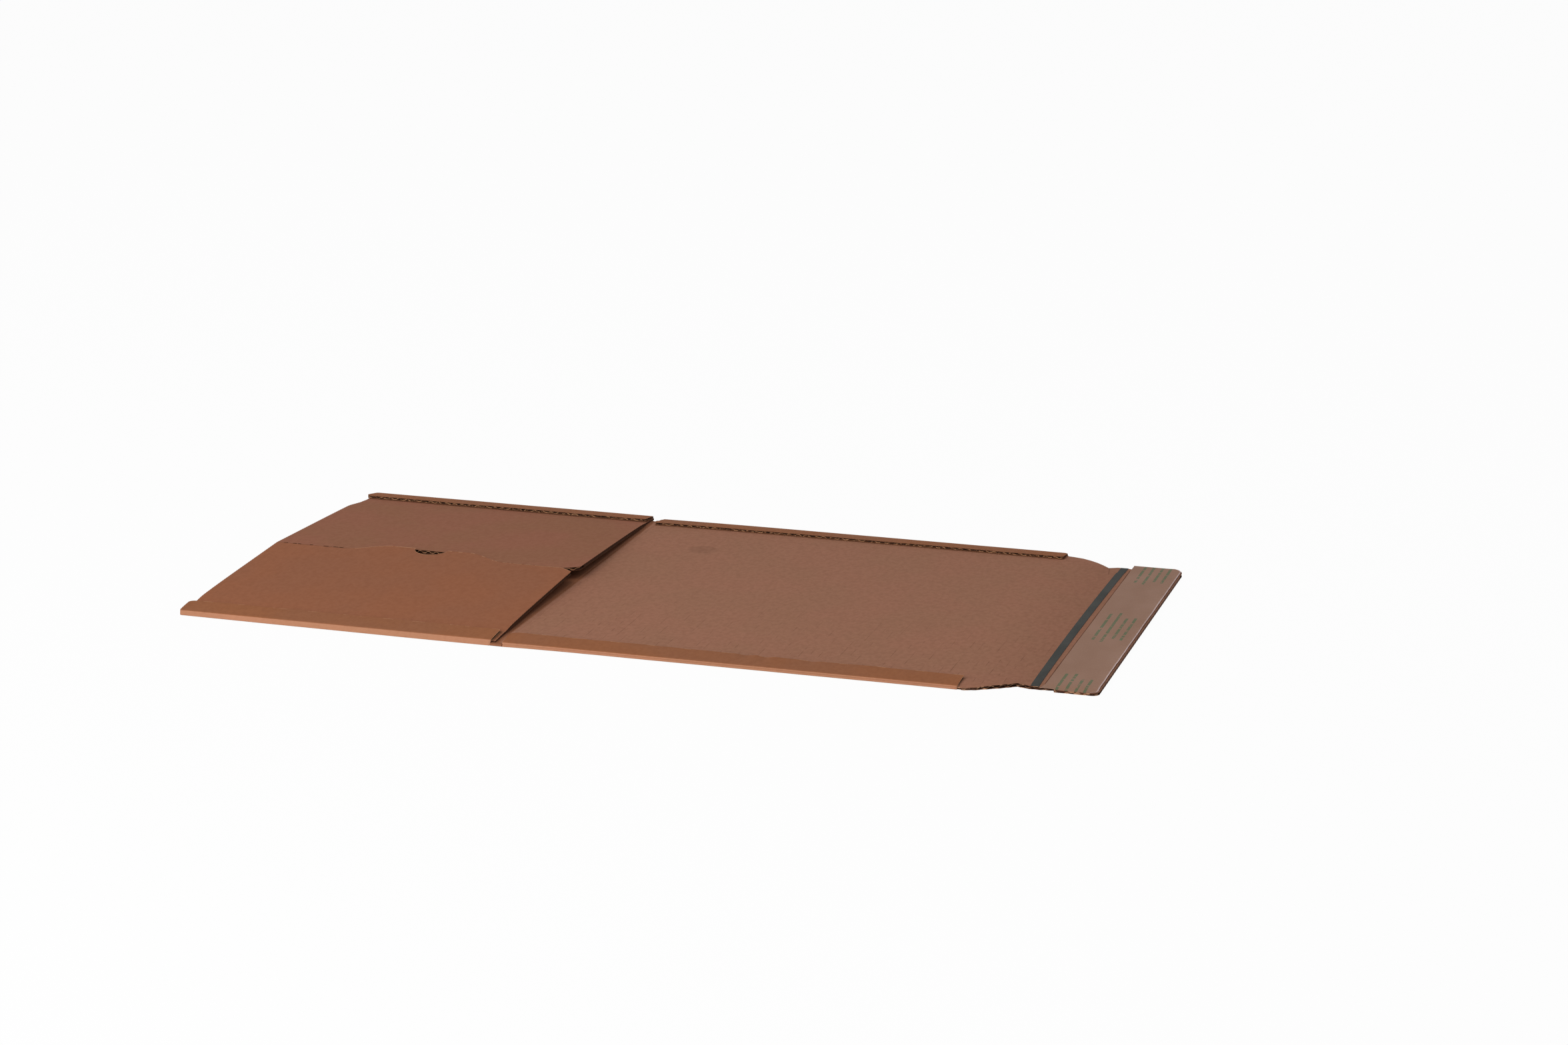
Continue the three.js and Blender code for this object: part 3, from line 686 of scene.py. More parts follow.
def dress(piece: bpy.types.Object, body: str, slot: str, *nodes: str) -> bpy.types.Object:
    """Puts a piece on its body and hides the CAD nodes that it stands for.

    Args:
        piece: The new object.
        body: The body that it rides on.
        slot: The record's material slot; not used.
        *nodes: The nodes that it replaces.

    Returns:
        The same object.
    """
    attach(piece, body)
    if nodes:
        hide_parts(*nodes)
    LOG.info("%s: %d faces on %s", piece.name, len(piece.data.polygons), body)
    return piece


@dataclass
class Door:
    """One of the pocket's two doors, rising from its hinge to the ridge with a slight bow."""

    name: str
    hinge_y: float
    meet_y: float
    left: float
    right: float
    bow: float
    hinge_z: float = 3.8
    ridge_z: float = 11.1
    root: float = 1.5
    thickness: float = 2.5
    press: float = 22.0
    tongue_centre: float = 112.8
    tongue_half: float = 28.6
    shoulder: float = 31.5
    reach: float = 14.3
    notch_centre: float = 113.5
    notch_radius: float = 12.0
    skew: float = 0.0
    edge_slot: Slot = Slot.UNDER

    def tongue(self, x: Array) -> Array:
        """The seam's step: 0 outside the tongue, its reach inside, an S-curve between.

        The S-curve over a shoulder share t is t^2 (3 - 2 t).
        """
        distance = np.abs(x - self.tongue_centre) - self.tongue_half
        share = np.clip(1.0 - distance / self.shoulder, 0.0, 1.0)
        return self.reach * share**2 * (3.0 - 2.0 * share)

    def height(self, x: Array, y: Array) -> Array:
        """The upper face: a straight rise plus bow sin(pi sqrt(t)), which starts flat at the hinge."""
        share = (y - self.hinge_y) / (self.meet_y - self.hinge_y)
        inside = np.clip(share, 0.0, 1.0)
        start = 1.0 - np.exp(-(((y - self.hinge_y) / 7.0) ** 2))
        rise = self.hinge_z + (self.ridge_z - self.hinge_z) * share
        ripple = 0.07 * wander(x, 170.0, 5) * np.sin(math.pi * inside)
        return rise + self.bow * np.sin(math.pi * np.sqrt(inside)) * start + ripple

    def floor(self, x: Array, y: Array) -> Array:
        """The lower face: the upper one less the thickness, which is pressed thin at the hinge."""
        away = np.abs(y - self.hinge_y)
        depth = self.root + (self.thickness - self.root) * np.clip(away / self.press, 0.0, 1.0)
        return self.height(x, y) - depth

    def build(self, columns: Array, seam: Edge, left_edge: Edge, finishes: Sequence[bpy.types.Material],
              seed: int) -> bpy.types.Object:
        """Builds the door.

        A point is given by u across and v from hinge to seam: y = hinge + v (seam(x) - hinge),
        and x is drawn in towards the left edge's inset at that y.

        Args:
            columns: Places along x at the seam.
            seam: The free edge.
            left_edge: Inset of the left side at each y.
            finishes: Materials of the board's slots.
            seed: Picks the crushing of the flutes.

        Returns:
            The door's object.
        """
        mesh = PieceMesh(self.name)
        share = np.concatenate([[0.0, 0.004], np.linspace(0.02, 0.99, 44), [0.996, 1.0]])[:, None]
        outer = seam(columns)[None, :]
        y = self.hinge_y + share * (outer - self.hinge_y)
        width = self.right - self.left
        inset = left_edge(y)
        lean = self.skew * np.clip(1.0 - share, 0.0, 1.0)
        x = columns[None, :] + (inset * (self.right - columns) - lean * (columns - self.left)) / width
        top = self.height(x, y)
        bottom = self.floor(x, y)
        frayed = np.zeros((x.shape[0] - 1, x.shape[1] - 1), dtype=bool)
        frayed[-1] = self.fray(columns[:-1])
        BOARD.sheet(mesh, x, y, top, BOARD.liner, Slot.TOP, Slot.CORE, self.edge_slot, [(frayed, Slot.PALE)])
        BOARD.sheet(mesh, x, y, bottom + BOARD.liner, BOARD.liner, Slot.CORE, Slot.TOP, Slot.DULL)
        side = math.copysign(1.0, self.meet_y - self.hinge_y)
        cut = lambda v: seam(v) - side * (0.12 + 0.1 * np.abs(wander(v, 23.0, seed + 5)))
        BOARD.flutes(mesh, self.left + 0.6, self.right - 0.4, cut, lambda v: seam(v) - side * 11.0,
                     self.height, self.floor, seed)
        # The closed core, set back from the seam, is a dark stand-in: painted shade in the flute holes.
        inner_x = self.left + 0.3 + (columns - self.left) * (width - 0.5) / width
        deep = lambda v: seam(v) - side * np.where(v > self.right - 1.2, 9.5, 10.6)
        x_core, y_core = BOARD.grid(inner_x, lambda v: np.full_like(v, self.hinge_y + side * 0.4), deep, 14)
        lean = self.skew * (seam(inner_x) - y_core) / (seam(inner_x) - self.hinge_y)
        x_core = x_core + (left_edge(y_core) * (self.right - x_core) - lean * (x_core - self.left)) / width
        z_core = self.height(x_core, y_core) - BOARD.liner * 0.9
        depth = z_core - self.floor(x_core, y_core) - BOARD.liner * 0.9
        BOARD.sheet(mesh, x_core, y_core, z_core, depth, Slot.CORE, Slot.CORE, Slot.SIDE)
        return mesh.make(finishes)


class NearDoor(Door):
    """The near door, with the tongue and the thumb notch."""

    def fray(self, x: Array) -> Array:
        """Where the liner's cut edge is frayed and pale: most of the seam right of the notch."""
        limit = np.interp(x, [58.0, 60.0, 122.0, 128.0, 170.0, 185.0], [3.0, -1.2, -0.6, 0.5, 0.0, -0.6])
        return wander(x, 9.0, 14) > limit

    def seam(self, x: Array) -> Array:
        """The free edge: the seam with its tongue, less the notch's circle and the right chamfer."""
        edge = self.meet_y + self.tongue(x) + 0.08 * wander(x, 30.0, 11)
        across = np.clip(np.abs(x - self.notch_centre) / self.notch_radius, 0.0, 1.0)
        edge = edge - self.notch_radius * np.sqrt(1.0 - across**2)
        chamfer = np.clip((x - (self.right - 8.3)) / 8.3, 0.0, 1.0)
        return edge - 6.3 * chamfer

    def columns(self) -> Array:
        """Columns 1.6 mm apart, closer at the notch."""
        even = np.arange(self.left, self.right, 1.6)
        arc = self.notch_centre + self.notch_radius * np.cos(np.linspace(math.pi, 0.0, 31))
        special = [self.right - 8.3, self.right]
        return np.unique(np.round(np.concatenate([even, arc, special]), 3))

    def left_inset(self, y: Array) -> Array:
        """The left side is drawn in by 0.3 mm at the hinge and is full 14 mm from it."""
        return 0.3 * np.clip(1.0 - np.abs(y - self.hinge_y) / 14.0, 0.0, 1.0)


class FarDoor(Door):
    """The far door, cut to take the near door's tongue."""

    gap: float = 0.35
    slit_gap: float = 1.7
    slits: tuple[tuple[float, float], ...] = ((6.3, 9.2), (12.9, 15.9), (16.6, 18.9), (25.6, 28.4),
                                              (36.3, 40.2), (43.6, 47.3), (48.1, 51.6))

    def fray(self, x: Array) -> Array:
        """Nowhere: its cut edge lies behind the near door's."""
        return np.zeros(x.shape, dtype=bool)

    def seam(self, x: Array) -> Array:
        """The free edge: the near door's line plus a gap, chamfered at the right corner.

        Left of the tongue the gap is wider in some slits, between which the board is nicked.
        """
        open_cut = np.any([(x > start) & (x < end) for start, end in self.slits], axis=0)
        gap = np.where(open_cut, self.slit_gap, self.gap)
        edge = self.meet_y + gap + self.tongue(x) + 0.06 * wander(x, 26.0, 12)
        run = np.clip((x - (self.right - 9.5)) / 9.5, 0.0, 1.0)
        return edge + 7.5 * run**1.2

    def columns(self) -> Array:
        """Columns 1.6 mm apart, closer at the slits and the rounded corner."""
        even = np.concatenate([np.arange(self.left, 55.0, 0.4),
                               np.arange(55.0, self.right - 9.5, 1.6)])
        arc = np.linspace(self.right - 9.5, self.right, 14)
        return np.unique(np.round(np.concatenate([even, arc]), 3))

    def left_inset(self, y: Array) -> Array:
        """The left side is set in by 3.4 mm for 17 mm from the hinge, then slopes out over 15 mm."""
        away = np.abs(y - self.hinge_y)
        return 3.4 * np.clip(1.0 - (away - 17.0) / 15.0, 0.0, 1.0)


@dataclass
class Hem:
    """A hem folded over and glued down, with its raw fluted edge and its rounded fold."""

    name: str
    start: float
    end: float
    fold_height: float
    raw_top: float
    corners: tuple[float, float, float, float]
    far: bool
    seed: int
    bend: float = 0.75
    waviness: float = 0.12
    groove: float = 0.0
    medium: float = 0.5
    dips: tuple[tuple[float, float], ...] = ()
    belly: tuple[tuple[float, float], ...] = ((0.0, 0.0),)
    slant: float = 0.0
    bed: float = 0.0
    layer: float = 1.95
    inward: tuple[tuple[float, float], ...] = ((0.0, 0.0),)

    def under(self, y: Array) -> Array:
        """Height of what lies under the hem's own layer: a straight slope up to the raw edge."""
        low = self.fold_height * 0.62
        return low + (self.raw_top - self.layer - low) * np.clip(y / HEM_WIDTH, 0.0, 1.0)

    def top(self, x: Array, y: Array) -> Array:
        """The hem's upper face: it bulges between fold and raw edge and sinks where it is dented.

        A dent of depth d at x0 lowers it by d exp(-((x - x0) / 4)^2) t^2, t being 1 at the raw edge.
        """
        share = np.clip((y - self.bend) / (HEM_WIDTH - self.bend), 0.0, 1.0)
        wave = self.waviness * wander(x, 83.0, self.seed) * share
        for place, depth in self.dips:
            wave = wave - depth * np.exp(-(((x - place) / 4.0) ** 2)) * share**2
        lift = 0.14 * np.sin(math.pi * share)
        return self.fold_height + (self.raw_top - self.fold_height) * share + lift + wave

    def bulge(self, x: Array, y: Array, z: Array) -> Array:
        """How far the fold's lower part stands out: the belly at x, times 1 - z / height, near the fold."""
        places, depths = zip(*self.belly)
        return np.interp(x, places, depths) * np.clip(1.0 - z / self.fold_height, 0.0, 1.0) * (y < 6.5)

    def path(self) -> Array:
        """The folded liner's path in y and z: along the top, round the fold and back underneath."""
        top_y = HEM_WIDTH - (HEM_WIDTH - self.bend) * np.append([0.0, 0.018], np.linspace(0.08, 1.0, 12))
        quarter = np.linspace(math.pi / 2.0, math.pi, 7)[1:]
        lower = np.linspace(math.pi, 1.5 * math.pi, 7)
        fold_z = self.fold_height - self.bend
        front_z = np.linspace(fold_z, self.bend, 11)[1:-1]
        front_y = self.groove * np.exp(-(((front_z - self.fold_height / 2.0) / 0.3) ** 2))
        y = [top_y, self.bend + self.bend * np.cos(quarter), front_y, self.bend + self.bend * np.cos(lower), [6.0]]
        z = [np.full(14, np.nan), fold_z + self.bend * np.sin(quarter), front_z,
             self.bend + self.bend * np.sin(lower), [0.0]]
        return np.stack([np.concatenate(y), np.concatenate(z)], axis=1)

    def build(self, finishes: Sequence[bpy.types.Material]) -> bpy.types.Object:
        """Builds the hem at the near side, or its mirror image at the far side.

        The folded liner is its path carried along x. At each x the path's y is squeezed between
        the rounded corners: y' = a + y (W - a - b) / W, with a and b the insets at fold and raw edge.

        Args:
            finishes: Materials of the board's slots.

        Returns:
            The hem's object.
        """
        mesh = PieceMesh(self.name)
        columns = dense_ends(self.start, self.end, 1.5, 6.0)
        left_fold, right_fold, right_raw, left_raw = self.corners

        def squeeze(x: Array, y: Array) -> Array:
            """Draws y in between the corners and lets both edges wander a little."""
            fold = corner_inset(x, self.start, self.end, left_fold, right_fold)
            raw = corner_inset(x, self.start, self.end, left_raw, right_raw)
            shift = np.interp(x, *zip(*self.inward))
            fold, raw = fold + shift, raw - shift
            fold = fold + 0.1 + 0.1 * wander(x, 120.0, self.seed + 3)
            raw = raw + 0.3 + 0.12 * wander(x, 47.0, self.seed + 4)
            return fold + y * (HEM_WIDTH - fold - raw) / HEM_WIDTH

        path = self.path()
        x = np.broadcast_to(columns[None, :], (len(path), len(columns))).copy()
        y = np.broadcast_to(path[:, :1], x.shape).copy()
        z = np.where(np.isnan(path[:, 1:]), self.top(x, y), path[:, 1:])
        tangent = np.gradient(np.stack([y, z], axis=-1), axis=0)
        tangent /= np.linalg.norm(tangent, axis=-1, keepdims=True)
        y_in, z_in = y - tangent[..., 1] * BOARD.liner, z + tangent[..., 0] * BOARD.liner
        lean = self.slant * (1.0 - y / HEM_WIDTH) * np.exp(-(x - self.start) / 6.0)
        outer = np.stack([x + lean, squeeze(x, y) - self.bulge(x, y, z), z], axis=-1)
        inner = np.stack([x + lean, squeeze(x, y_in) - self.bulge(x, y_in, z_in), z_in], axis=-1)
        self._put(mesh, outer[::-1], inner[::-1], Slot.TOP, Slot.CORE, Slot.UNDER, self._marks(columns, len(path)))
        under = lambda v, w: self.under(w)
        y_low = np.linspace(2.0, HEM_WIDTH, 8)[:, None]
        x2 = np.broadcast_to(columns[None, :], (8, len(columns))).copy()
        y2 = squeeze(x2, np.broadcast_to(y_low, x2.shape))
        z2 = under(x2, np.broadcast_to(y_low, x2.shape)) + BOARD.liner + self.bed
        low_sheet = np.stack([x2, y2, z2], axis=-1)
        self._put(mesh, low_sheet, low_sheet - [0.0, 0.0, BOARD.liner * 0.9 + self.bed], Slot.CORE, Slot.CORE, Slot.UNDER)
        self._flutes(mesh, squeeze)
        self._fill(mesh, squeeze, columns)
        return mesh.make(finishes)

    def _put(self, mesh: PieceMesh, upper: Array, lower: Array, top: Slot, under: Slot, side: Slot,
             marks: "Sequence[tuple[Array, Slot]]" = ()) -> None:
        """Adds a shell, mirrored to the far side for a far hem."""
        if self.far:
            upper, lower = mirrored_far(upper), mirrored_far(lower)
            marks = [(marked[::-1], slot) for marked, slot in marks]
        mesh.shell(upper, lower, top, under, side, marks)

    def _marks(self, columns: Array, rows: int) -> "Sequence[tuple[Array, Slot]]":
        """The folded liner's front below its upper bend, which gets the lighter fold finish as painted light, and
        frayed places of its raw edge.

        Args:
            columns: Places along x.
            rows: Rows of the path, the raw edge first.

        Returns:
            The marks for a shell whose rows start at the path's other end.
        """
        front = np.zeros((rows - 1, len(columns) - 1), dtype=bool)
        front[17:] = True
        frayed = np.zeros_like(front)
        frayed[0] = wander(columns[:-1], 31.0, self.seed + 7) > 0.35
        return [(front[::-1], Slot.LIT_FOLD), (frayed[::-1], Slot.PALE)]

    def _flutes(self, mesh: PieceMesh, squeeze: Surface) -> None:
        """Adds the fluted medium behind the raw edge: a sine along x between the hem's two liners."""
        x_line = np.arange(self.start + 0.5, self.end - 0.4, BOARD.pitch / BOARD.samples)
        depth = np.linspace(8.0, HEM_WIDTH - 0.1, 5)[:, None]
        x = np.broadcast_to(x_line[None, :], (5, len(x_line))).copy()
        y = np.broadcast_to(depth, x.shape)
        ragged = 0.22 * np.abs(wander(x, 19.0, self.seed + 6)) * (depth > HEM_WIDTH - 1.0)
        high = self.top(x, y) - BOARD.liner
        low = self.under(y) + BOARD.liner
        room = np.maximum(high - low - self.medium, 0.02)
        crush = 1.0 - 0.3 * np.abs(wander(x, 71.0, self.seed + 1)) - 0.15 * np.abs(wander(x, 15.0, self.seed + 2))
        drift = 0.6 * wander(x, 80.0, self.seed + 5)
        wave = np.sin(2.0 * math.pi * (x - BOARD.start) / BOARD.pitch + drift)
        wave = np.sign(wave) * np.abs(wave) ** 0.8
        z = (high + low) / 2.0 + self.medium / 2.0 + wave * crush * room / 2.0
        upper = np.stack([x, squeeze(x, y - ragged), z], axis=-1)
        self._put(mesh, upper, upper - [0.0, 0.0, self.medium], Slot.MEDIUM, Slot.MEDIUM, Slot.MEDIUM)

    def _fill(self, mesh: PieceMesh, squeeze: Surface, columns: Array) -> None:
        """Adds the pressed board inside the fold, set back a little at both ends."""
        width = self.end - self.start
        inner_x = self.start + 0.3 + (columns - self.start) * (width - (0.6 if self.far else 2.6)) / width
        y_line = np.linspace(0.5, 9.0, 6)[:, None]
        x = np.broadcast_to(inner_x[None, :], (6, len(inner_x))).copy()
        y = np.broadcast_to(y_line, x.shape)
        round_off = np.where(y < 1.2, (1.2 - y) * 0.7, 0.0)
        high = self.top(x, y) - BOARD.liner * 0.9 - round_off
        low = np.full_like(high, 0.12) + round_off
        upper = np.stack([x, squeeze(x, y), high], axis=-1)
        lower = np.stack([x, squeeze(x, y), low], axis=-1)
        self._put(mesh, upper, lower, Slot.CORE, Slot.CORE, Slot.SIDE)


@dataclass
class Pocket:
    """The pocket's base, the doors' glued margins under the hems, and the two hems."""

    left: float = 0.8
    right: float = 228.28
    hem_end: float = 222.3
    near_margin_end: float = 224.8
    far_margin_end: float = 224.2

    def top(self, x: Array, y: Array) -> Array:
        """The base's upper face: 1.3 mm at the folds, 2 mm where pressed, 2.5 mm in the middle.

        From x 227 on it rises to the wrap panel's own height along the spine.
        """
        from_edge = np.minimum(y, WIDTH - y)
        crease = 0.35 * np.exp(-(((x - 226.4) / 0.7) ** 2))
        height = np.interp(from_edge, [0.0, 12.0, 42.4, 64.4], [1.3, 2.0, 2.0, 2.5])
        spine = 1.45 + 1.05 * np.sin(math.pi / 2.0 * np.clip(from_edge, 0.0, 12.0) / 12.0)
        return height + (spine - height) * np.clip((x - 227.0) / 1.1, 0.0, 1.0) - crease

    def base(self, finishes: Sequence[bpy.types.Material]) -> bpy.types.Object:
        """Builds the base panel as two liners round a closed core."""
        mesh = PieceMesh("pocket_base_board")
        columns = np.unique(np.concatenate([np.arange(self.left, 222.0, 4.0), np.arange(222.0, self.right, 0.3),
                                            [self.right]]))
        near = lambda v: 0.8 + corner_inset(v, 0.0, 400.0, 3.0, 0.0)
        far = lambda v: WIDTH - near(v) - np.where(v > self.hem_end + 0.8, 5.5, 0.0)
        x, y = BOARD.grid(columns, near, far, 60)
        top = self.top(x, y)
        BOARD.sheet(mesh, x, y, top, BOARD.liner, Slot.TOP, Slot.CORE, Slot.UNDER)
        BOARD.sheet(mesh, x, y, np.full_like(top, BOARD.liner + CLEAR), BOARD.liner, Slot.CORE, Slot.TOP, Slot.UNDER)
        inner = self.left + 0.6 + (columns - self.left) * (self.right - self.left - 1.0) / (self.right - self.left)
        x, y = BOARD.grid(inner, lambda v: near(v) + 0.5, lambda v: far(v) - 0.5, 60)
        upper = np.stack([x, y, self.top(x, y) - BOARD.liner * 0.9], axis=-1)
        lower = np.stack([x, y, np.full_like(x, BOARD.liner * 0.9)], axis=-1)
        mesh.shell(upper, lower, Slot.CORE, Slot.CORE, Slot.CORE)
        BOARD.roll(mesh, self.hem_end, self.right, 1.6, -2.4, False)
        BOARD.roll(mesh, self.hem_end, self.right, 1.5, 5.2, True)
        return mesh.make(finishes)

    def margin(self, name: str, end: float, far: bool, finishes: Sequence[bpy.types.Material]) -> bpy.types.Object:
        """Builds the glued margin under a hem, which shows for a few millimetres past its end."""
        mesh = PieceMesh(name)
        start = self.left + (2.6 if far else 0.4)
        columns = np.concatenate([np.arange(start, end - 1.0, 6.0), [end - 1.0, end]])
        x, y = BOARD.grid(columns, lambda v: np.full_like(v, 1.6), lambda v: np.full_like(v, HEM_WIDTH - 0.15), 12)
        z = 2.45 + (3.75 - 2.45) * (y - 1.6) / (HEM_WIDTH - 1.6)
        upper = np.stack([x, y, z], axis=-1)
        lower = np.stack([x, y, np.minimum(z - 0.4, self.top(x * 0.0, y) - 0.05)], axis=-1)
        if far:
            upper, lower = mirrored_far(upper), mirrored_far(lower)
        mesh.shell(upper, lower, Slot.TOP, Slot.CORE, Slot.CORE)
        return mesh.make(finishes)

    def hems(self) -> tuple[Hem, Hem]:
        """The near and the far hem."""
        near = Hem("pocket_near_hem", -0.9, self.hem_end, 3.9, 5.6, (1.2, 1.0, 2.0, 4.0), False, 21,
                   belly=((0.0, 0.3), (60.0, 1.2), (160.0, 2.4), (222.0, 2.6)))
        far = Hem("pocket_far_hem", 1.5, self.hem_end + 1.2, 3.9, 5.9, (3.4, 1.0, 2.0, 3.5), True, 31, bed=0.25,
                  layer=2.15)
        return near, far


@dataclass
class WrapPanel:
    """The wrap panel, its two hems and the cut closure end."""

    left: float = 228.32
    hem_start: float = 230.8
    hem_end: float = 538.5
    end: float = 627.4
    full: float = 2.5

    def near_edge(self, x: Array) -> Array:
        """The near cut edge: the fold, a curve up to the cusp, the bulge of the tear zone, a step.

        Between the flutes the liner's edge is drawn in by 0.45 sin^2(pi x / pitch).
        """
        points_x = [228.0, 538.5, 543.0, 548.7, 556.4, 564.0, 570.0, 574.0, 578.0, 582.6, 589.0, 594.0,
                    597.6, 598.6, 622.4]
        points_y = [0.0, 0.0, 0.1, 2.0, 6.5, 11.6, 15.9, 18.8, 17.2, 16.3, 16.4, 16.9, 17.8, 14.3, 14.3]
        edge = np.interp(x, points_x, points_y)
        run = np.clip((x - (self.end - 5.0)) / 5.0, 0.0, 1.0)
        edge = edge + 5.0 * (1.0 - np.sqrt(1.0 - run**2)) * 0.95
        scallop = 0.45 * np.abs(np.sin(math.pi * (x - BOARD.start) / BOARD.pitch)) ** 2
        rough = np.where(x > 545.0, 0.14 * wander(x, 14.0, 43) + scallop * (x < 597.0), 0.0)
        return edge + rough

    def far_edge(self, x: Array) -> Array:
        """The far cut edge, with its own cusp, bulge and step."""
        points_x = [228.0, 538.5, 540.8, 546.0, 552.3, 558.5, 564.6, 570.0, 575.0, 581.0, 586.0, 591.1,
                    591.7, 622.4]
        points_y = [353.0, 353.0, 345.8, 344.3, 342.0, 338.3, 333.5, 327.8, 321.8, 325.0, 325.1, 324.0,
                    332.9, 333.5]
        edge = np.interp(x, points_x, points_y)
        run = np.clip((x - (self.end - 9.0)) / 9.0, 0.0, 1.0)
        return edge - 11.0 * (1.0 - np.sqrt(1.0 - run**2)) * 0.95

    def top(self, x: Array, y: Array) -> Array:
        """The upper face: 1.45 mm at the folds, full from 12 mm on, crushed at the closure's near cut."""
        from_edge = np.clip(np.minimum(y, WIDTH - y), 0.0, 12.0)
        z = 1.45 + (self.full - 1.45) * np.sin(math.pi / 2.0 * from_edge / 12.0)
        crease = 0.25 * np.exp(-(((x - 231.6) / 0.8) ** 2))
        closure = np.interp(x, [576.0, 600.0, 607.0, 622.0, 627.0], [0.0, 0.85, 1.0, 0.95, 0.6])
        crease = crease + closure * np.exp(-(((y - self.near_edge(x)) / 5.0) ** 2))
        return z - crease - 0.06 * np.exp(-((x - 228.3) / 0.8))

    def columns(self) -> Array:
        """Columns close at the spine and the closure, wide between."""
        parts = [np.arange(self.left, 234.0, 0.4), np.arange(234.0, 538.0, 4.0), np.arange(538.0, 597.5, 1.0),
                 [538.5, 540.8, 591.1, 591.7, 597.6, 598.6], np.arange(599.0, 622.0, 2.0),
                 self.end - 9.0 + 9.0 * np.sin(np.linspace(0.0, math.pi / 2.0, 16))]
        return np.unique(np.round(np.concatenate(parts), 3))

    def panel(self, finishes: Sequence[bpy.types.Material]) -> bpy.types.Object:
        """Builds the panel: two liners, the flutes along the cut near and far edges, a closed core."""
        mesh = PieceMesh("wrap_panel_board")
        columns = self.columns()
        near = lambda v: self.near_edge(v) + np.where(v < 541.0, 0.8, 0.0)
        far = lambda v: self.far_edge(v) - np.where(v < 539.0, 0.8, 0.0) - np.where(v < self.hem_start, 5.5, 0.0)
        x, y = BOARD.grid(columns, near, far, 72)
        top = self.top(x, y)
        BOARD.sheet(mesh, x, y, top, BOARD.liner, Slot.TOP, Slot.CORE, Slot.UNDER)
        below = np.full_like(top, BOARD.liner + CLEAR)
        BOARD.sheet(mesh, x, y, below, BOARD.liner, Slot.CORE, Slot.PALE, Slot.UNDER)
        flat = lambda v, w: np.zeros_like(v)
        ragged = lambda v: near(v) + 0.12 + 0.35 * np.abs(wander(v, 12.0, 61))
        BOARD.flutes(mesh, 539.2, self.end - 0.7, ragged, lambda v: near(v) + 9.0, self.top, flat, 51)
        BOARD.flutes(mesh, 541.5, self.end - 0.7, lambda v: far(v) - 0.15, lambda v: far(v) - 9.0,
                     self.top, flat, 57)
        width = self.end - self.left
        inner = self.left + 0.6 + (columns - self.left) * (width - 0.75) / width
        inset = lambda v: np.where(v > 538.9, 8.6, 0.6)
        x, y = BOARD.grid(inner, lambda v: near(v) + inset(v), lambda v: far(v) - inset(v), 72)
        upper = np.stack([x, y, self.top(x, y) - BOARD.liner * 0.9], axis=-1)
        lower = np.stack([x, y, np.full_like(x, BOARD.liner * 0.9)], axis=-1)
        mesh.shell(upper, lower, Slot.CORE, Slot.CORE, Slot.SIDE)
        BOARD.roll(mesh, self.left, self.hem_start - 0.3, 1.6, -2.4, False, Slot.PALE)
        BOARD.roll(mesh, self.left, self.hem_start + 0.3, 1.5, 5.2, True, Slot.PALE)
        return mesh.make(finishes)

    def hems(self) -> tuple[Hem, Hem]:
        """The near and the far hem."""
        dips = ((392.0, 0.8), (405.5, 0.9), (437.0, 0.8))
        near = Hem("wrap_near_hem", self.hem_start - 0.6, self.hem_end, 2.9, 4.4, (1.0, 1.0, 0.6, 6.0), False, 71,
                   waviness=0.2, groove=0.4, dips=dips,
                   belly=((230.0, 2.5), (245.0, 1.6), (275.0, 0.8), (538.0, 0.6)))
        far = Hem("wrap_far_hem", self.hem_start, self.hem_end + 0.8, 2.9, 4.75, (1.2, 3.0, 2.0, 2.0), True, 81,
                  groove=0.4, slant=1.7, bed=0.25, layer=2.15,
                  inward=((230.0, 2.2), (245.0, 1.6), (275.0, 0.6), (320.0, 0.0)))
        return near, far


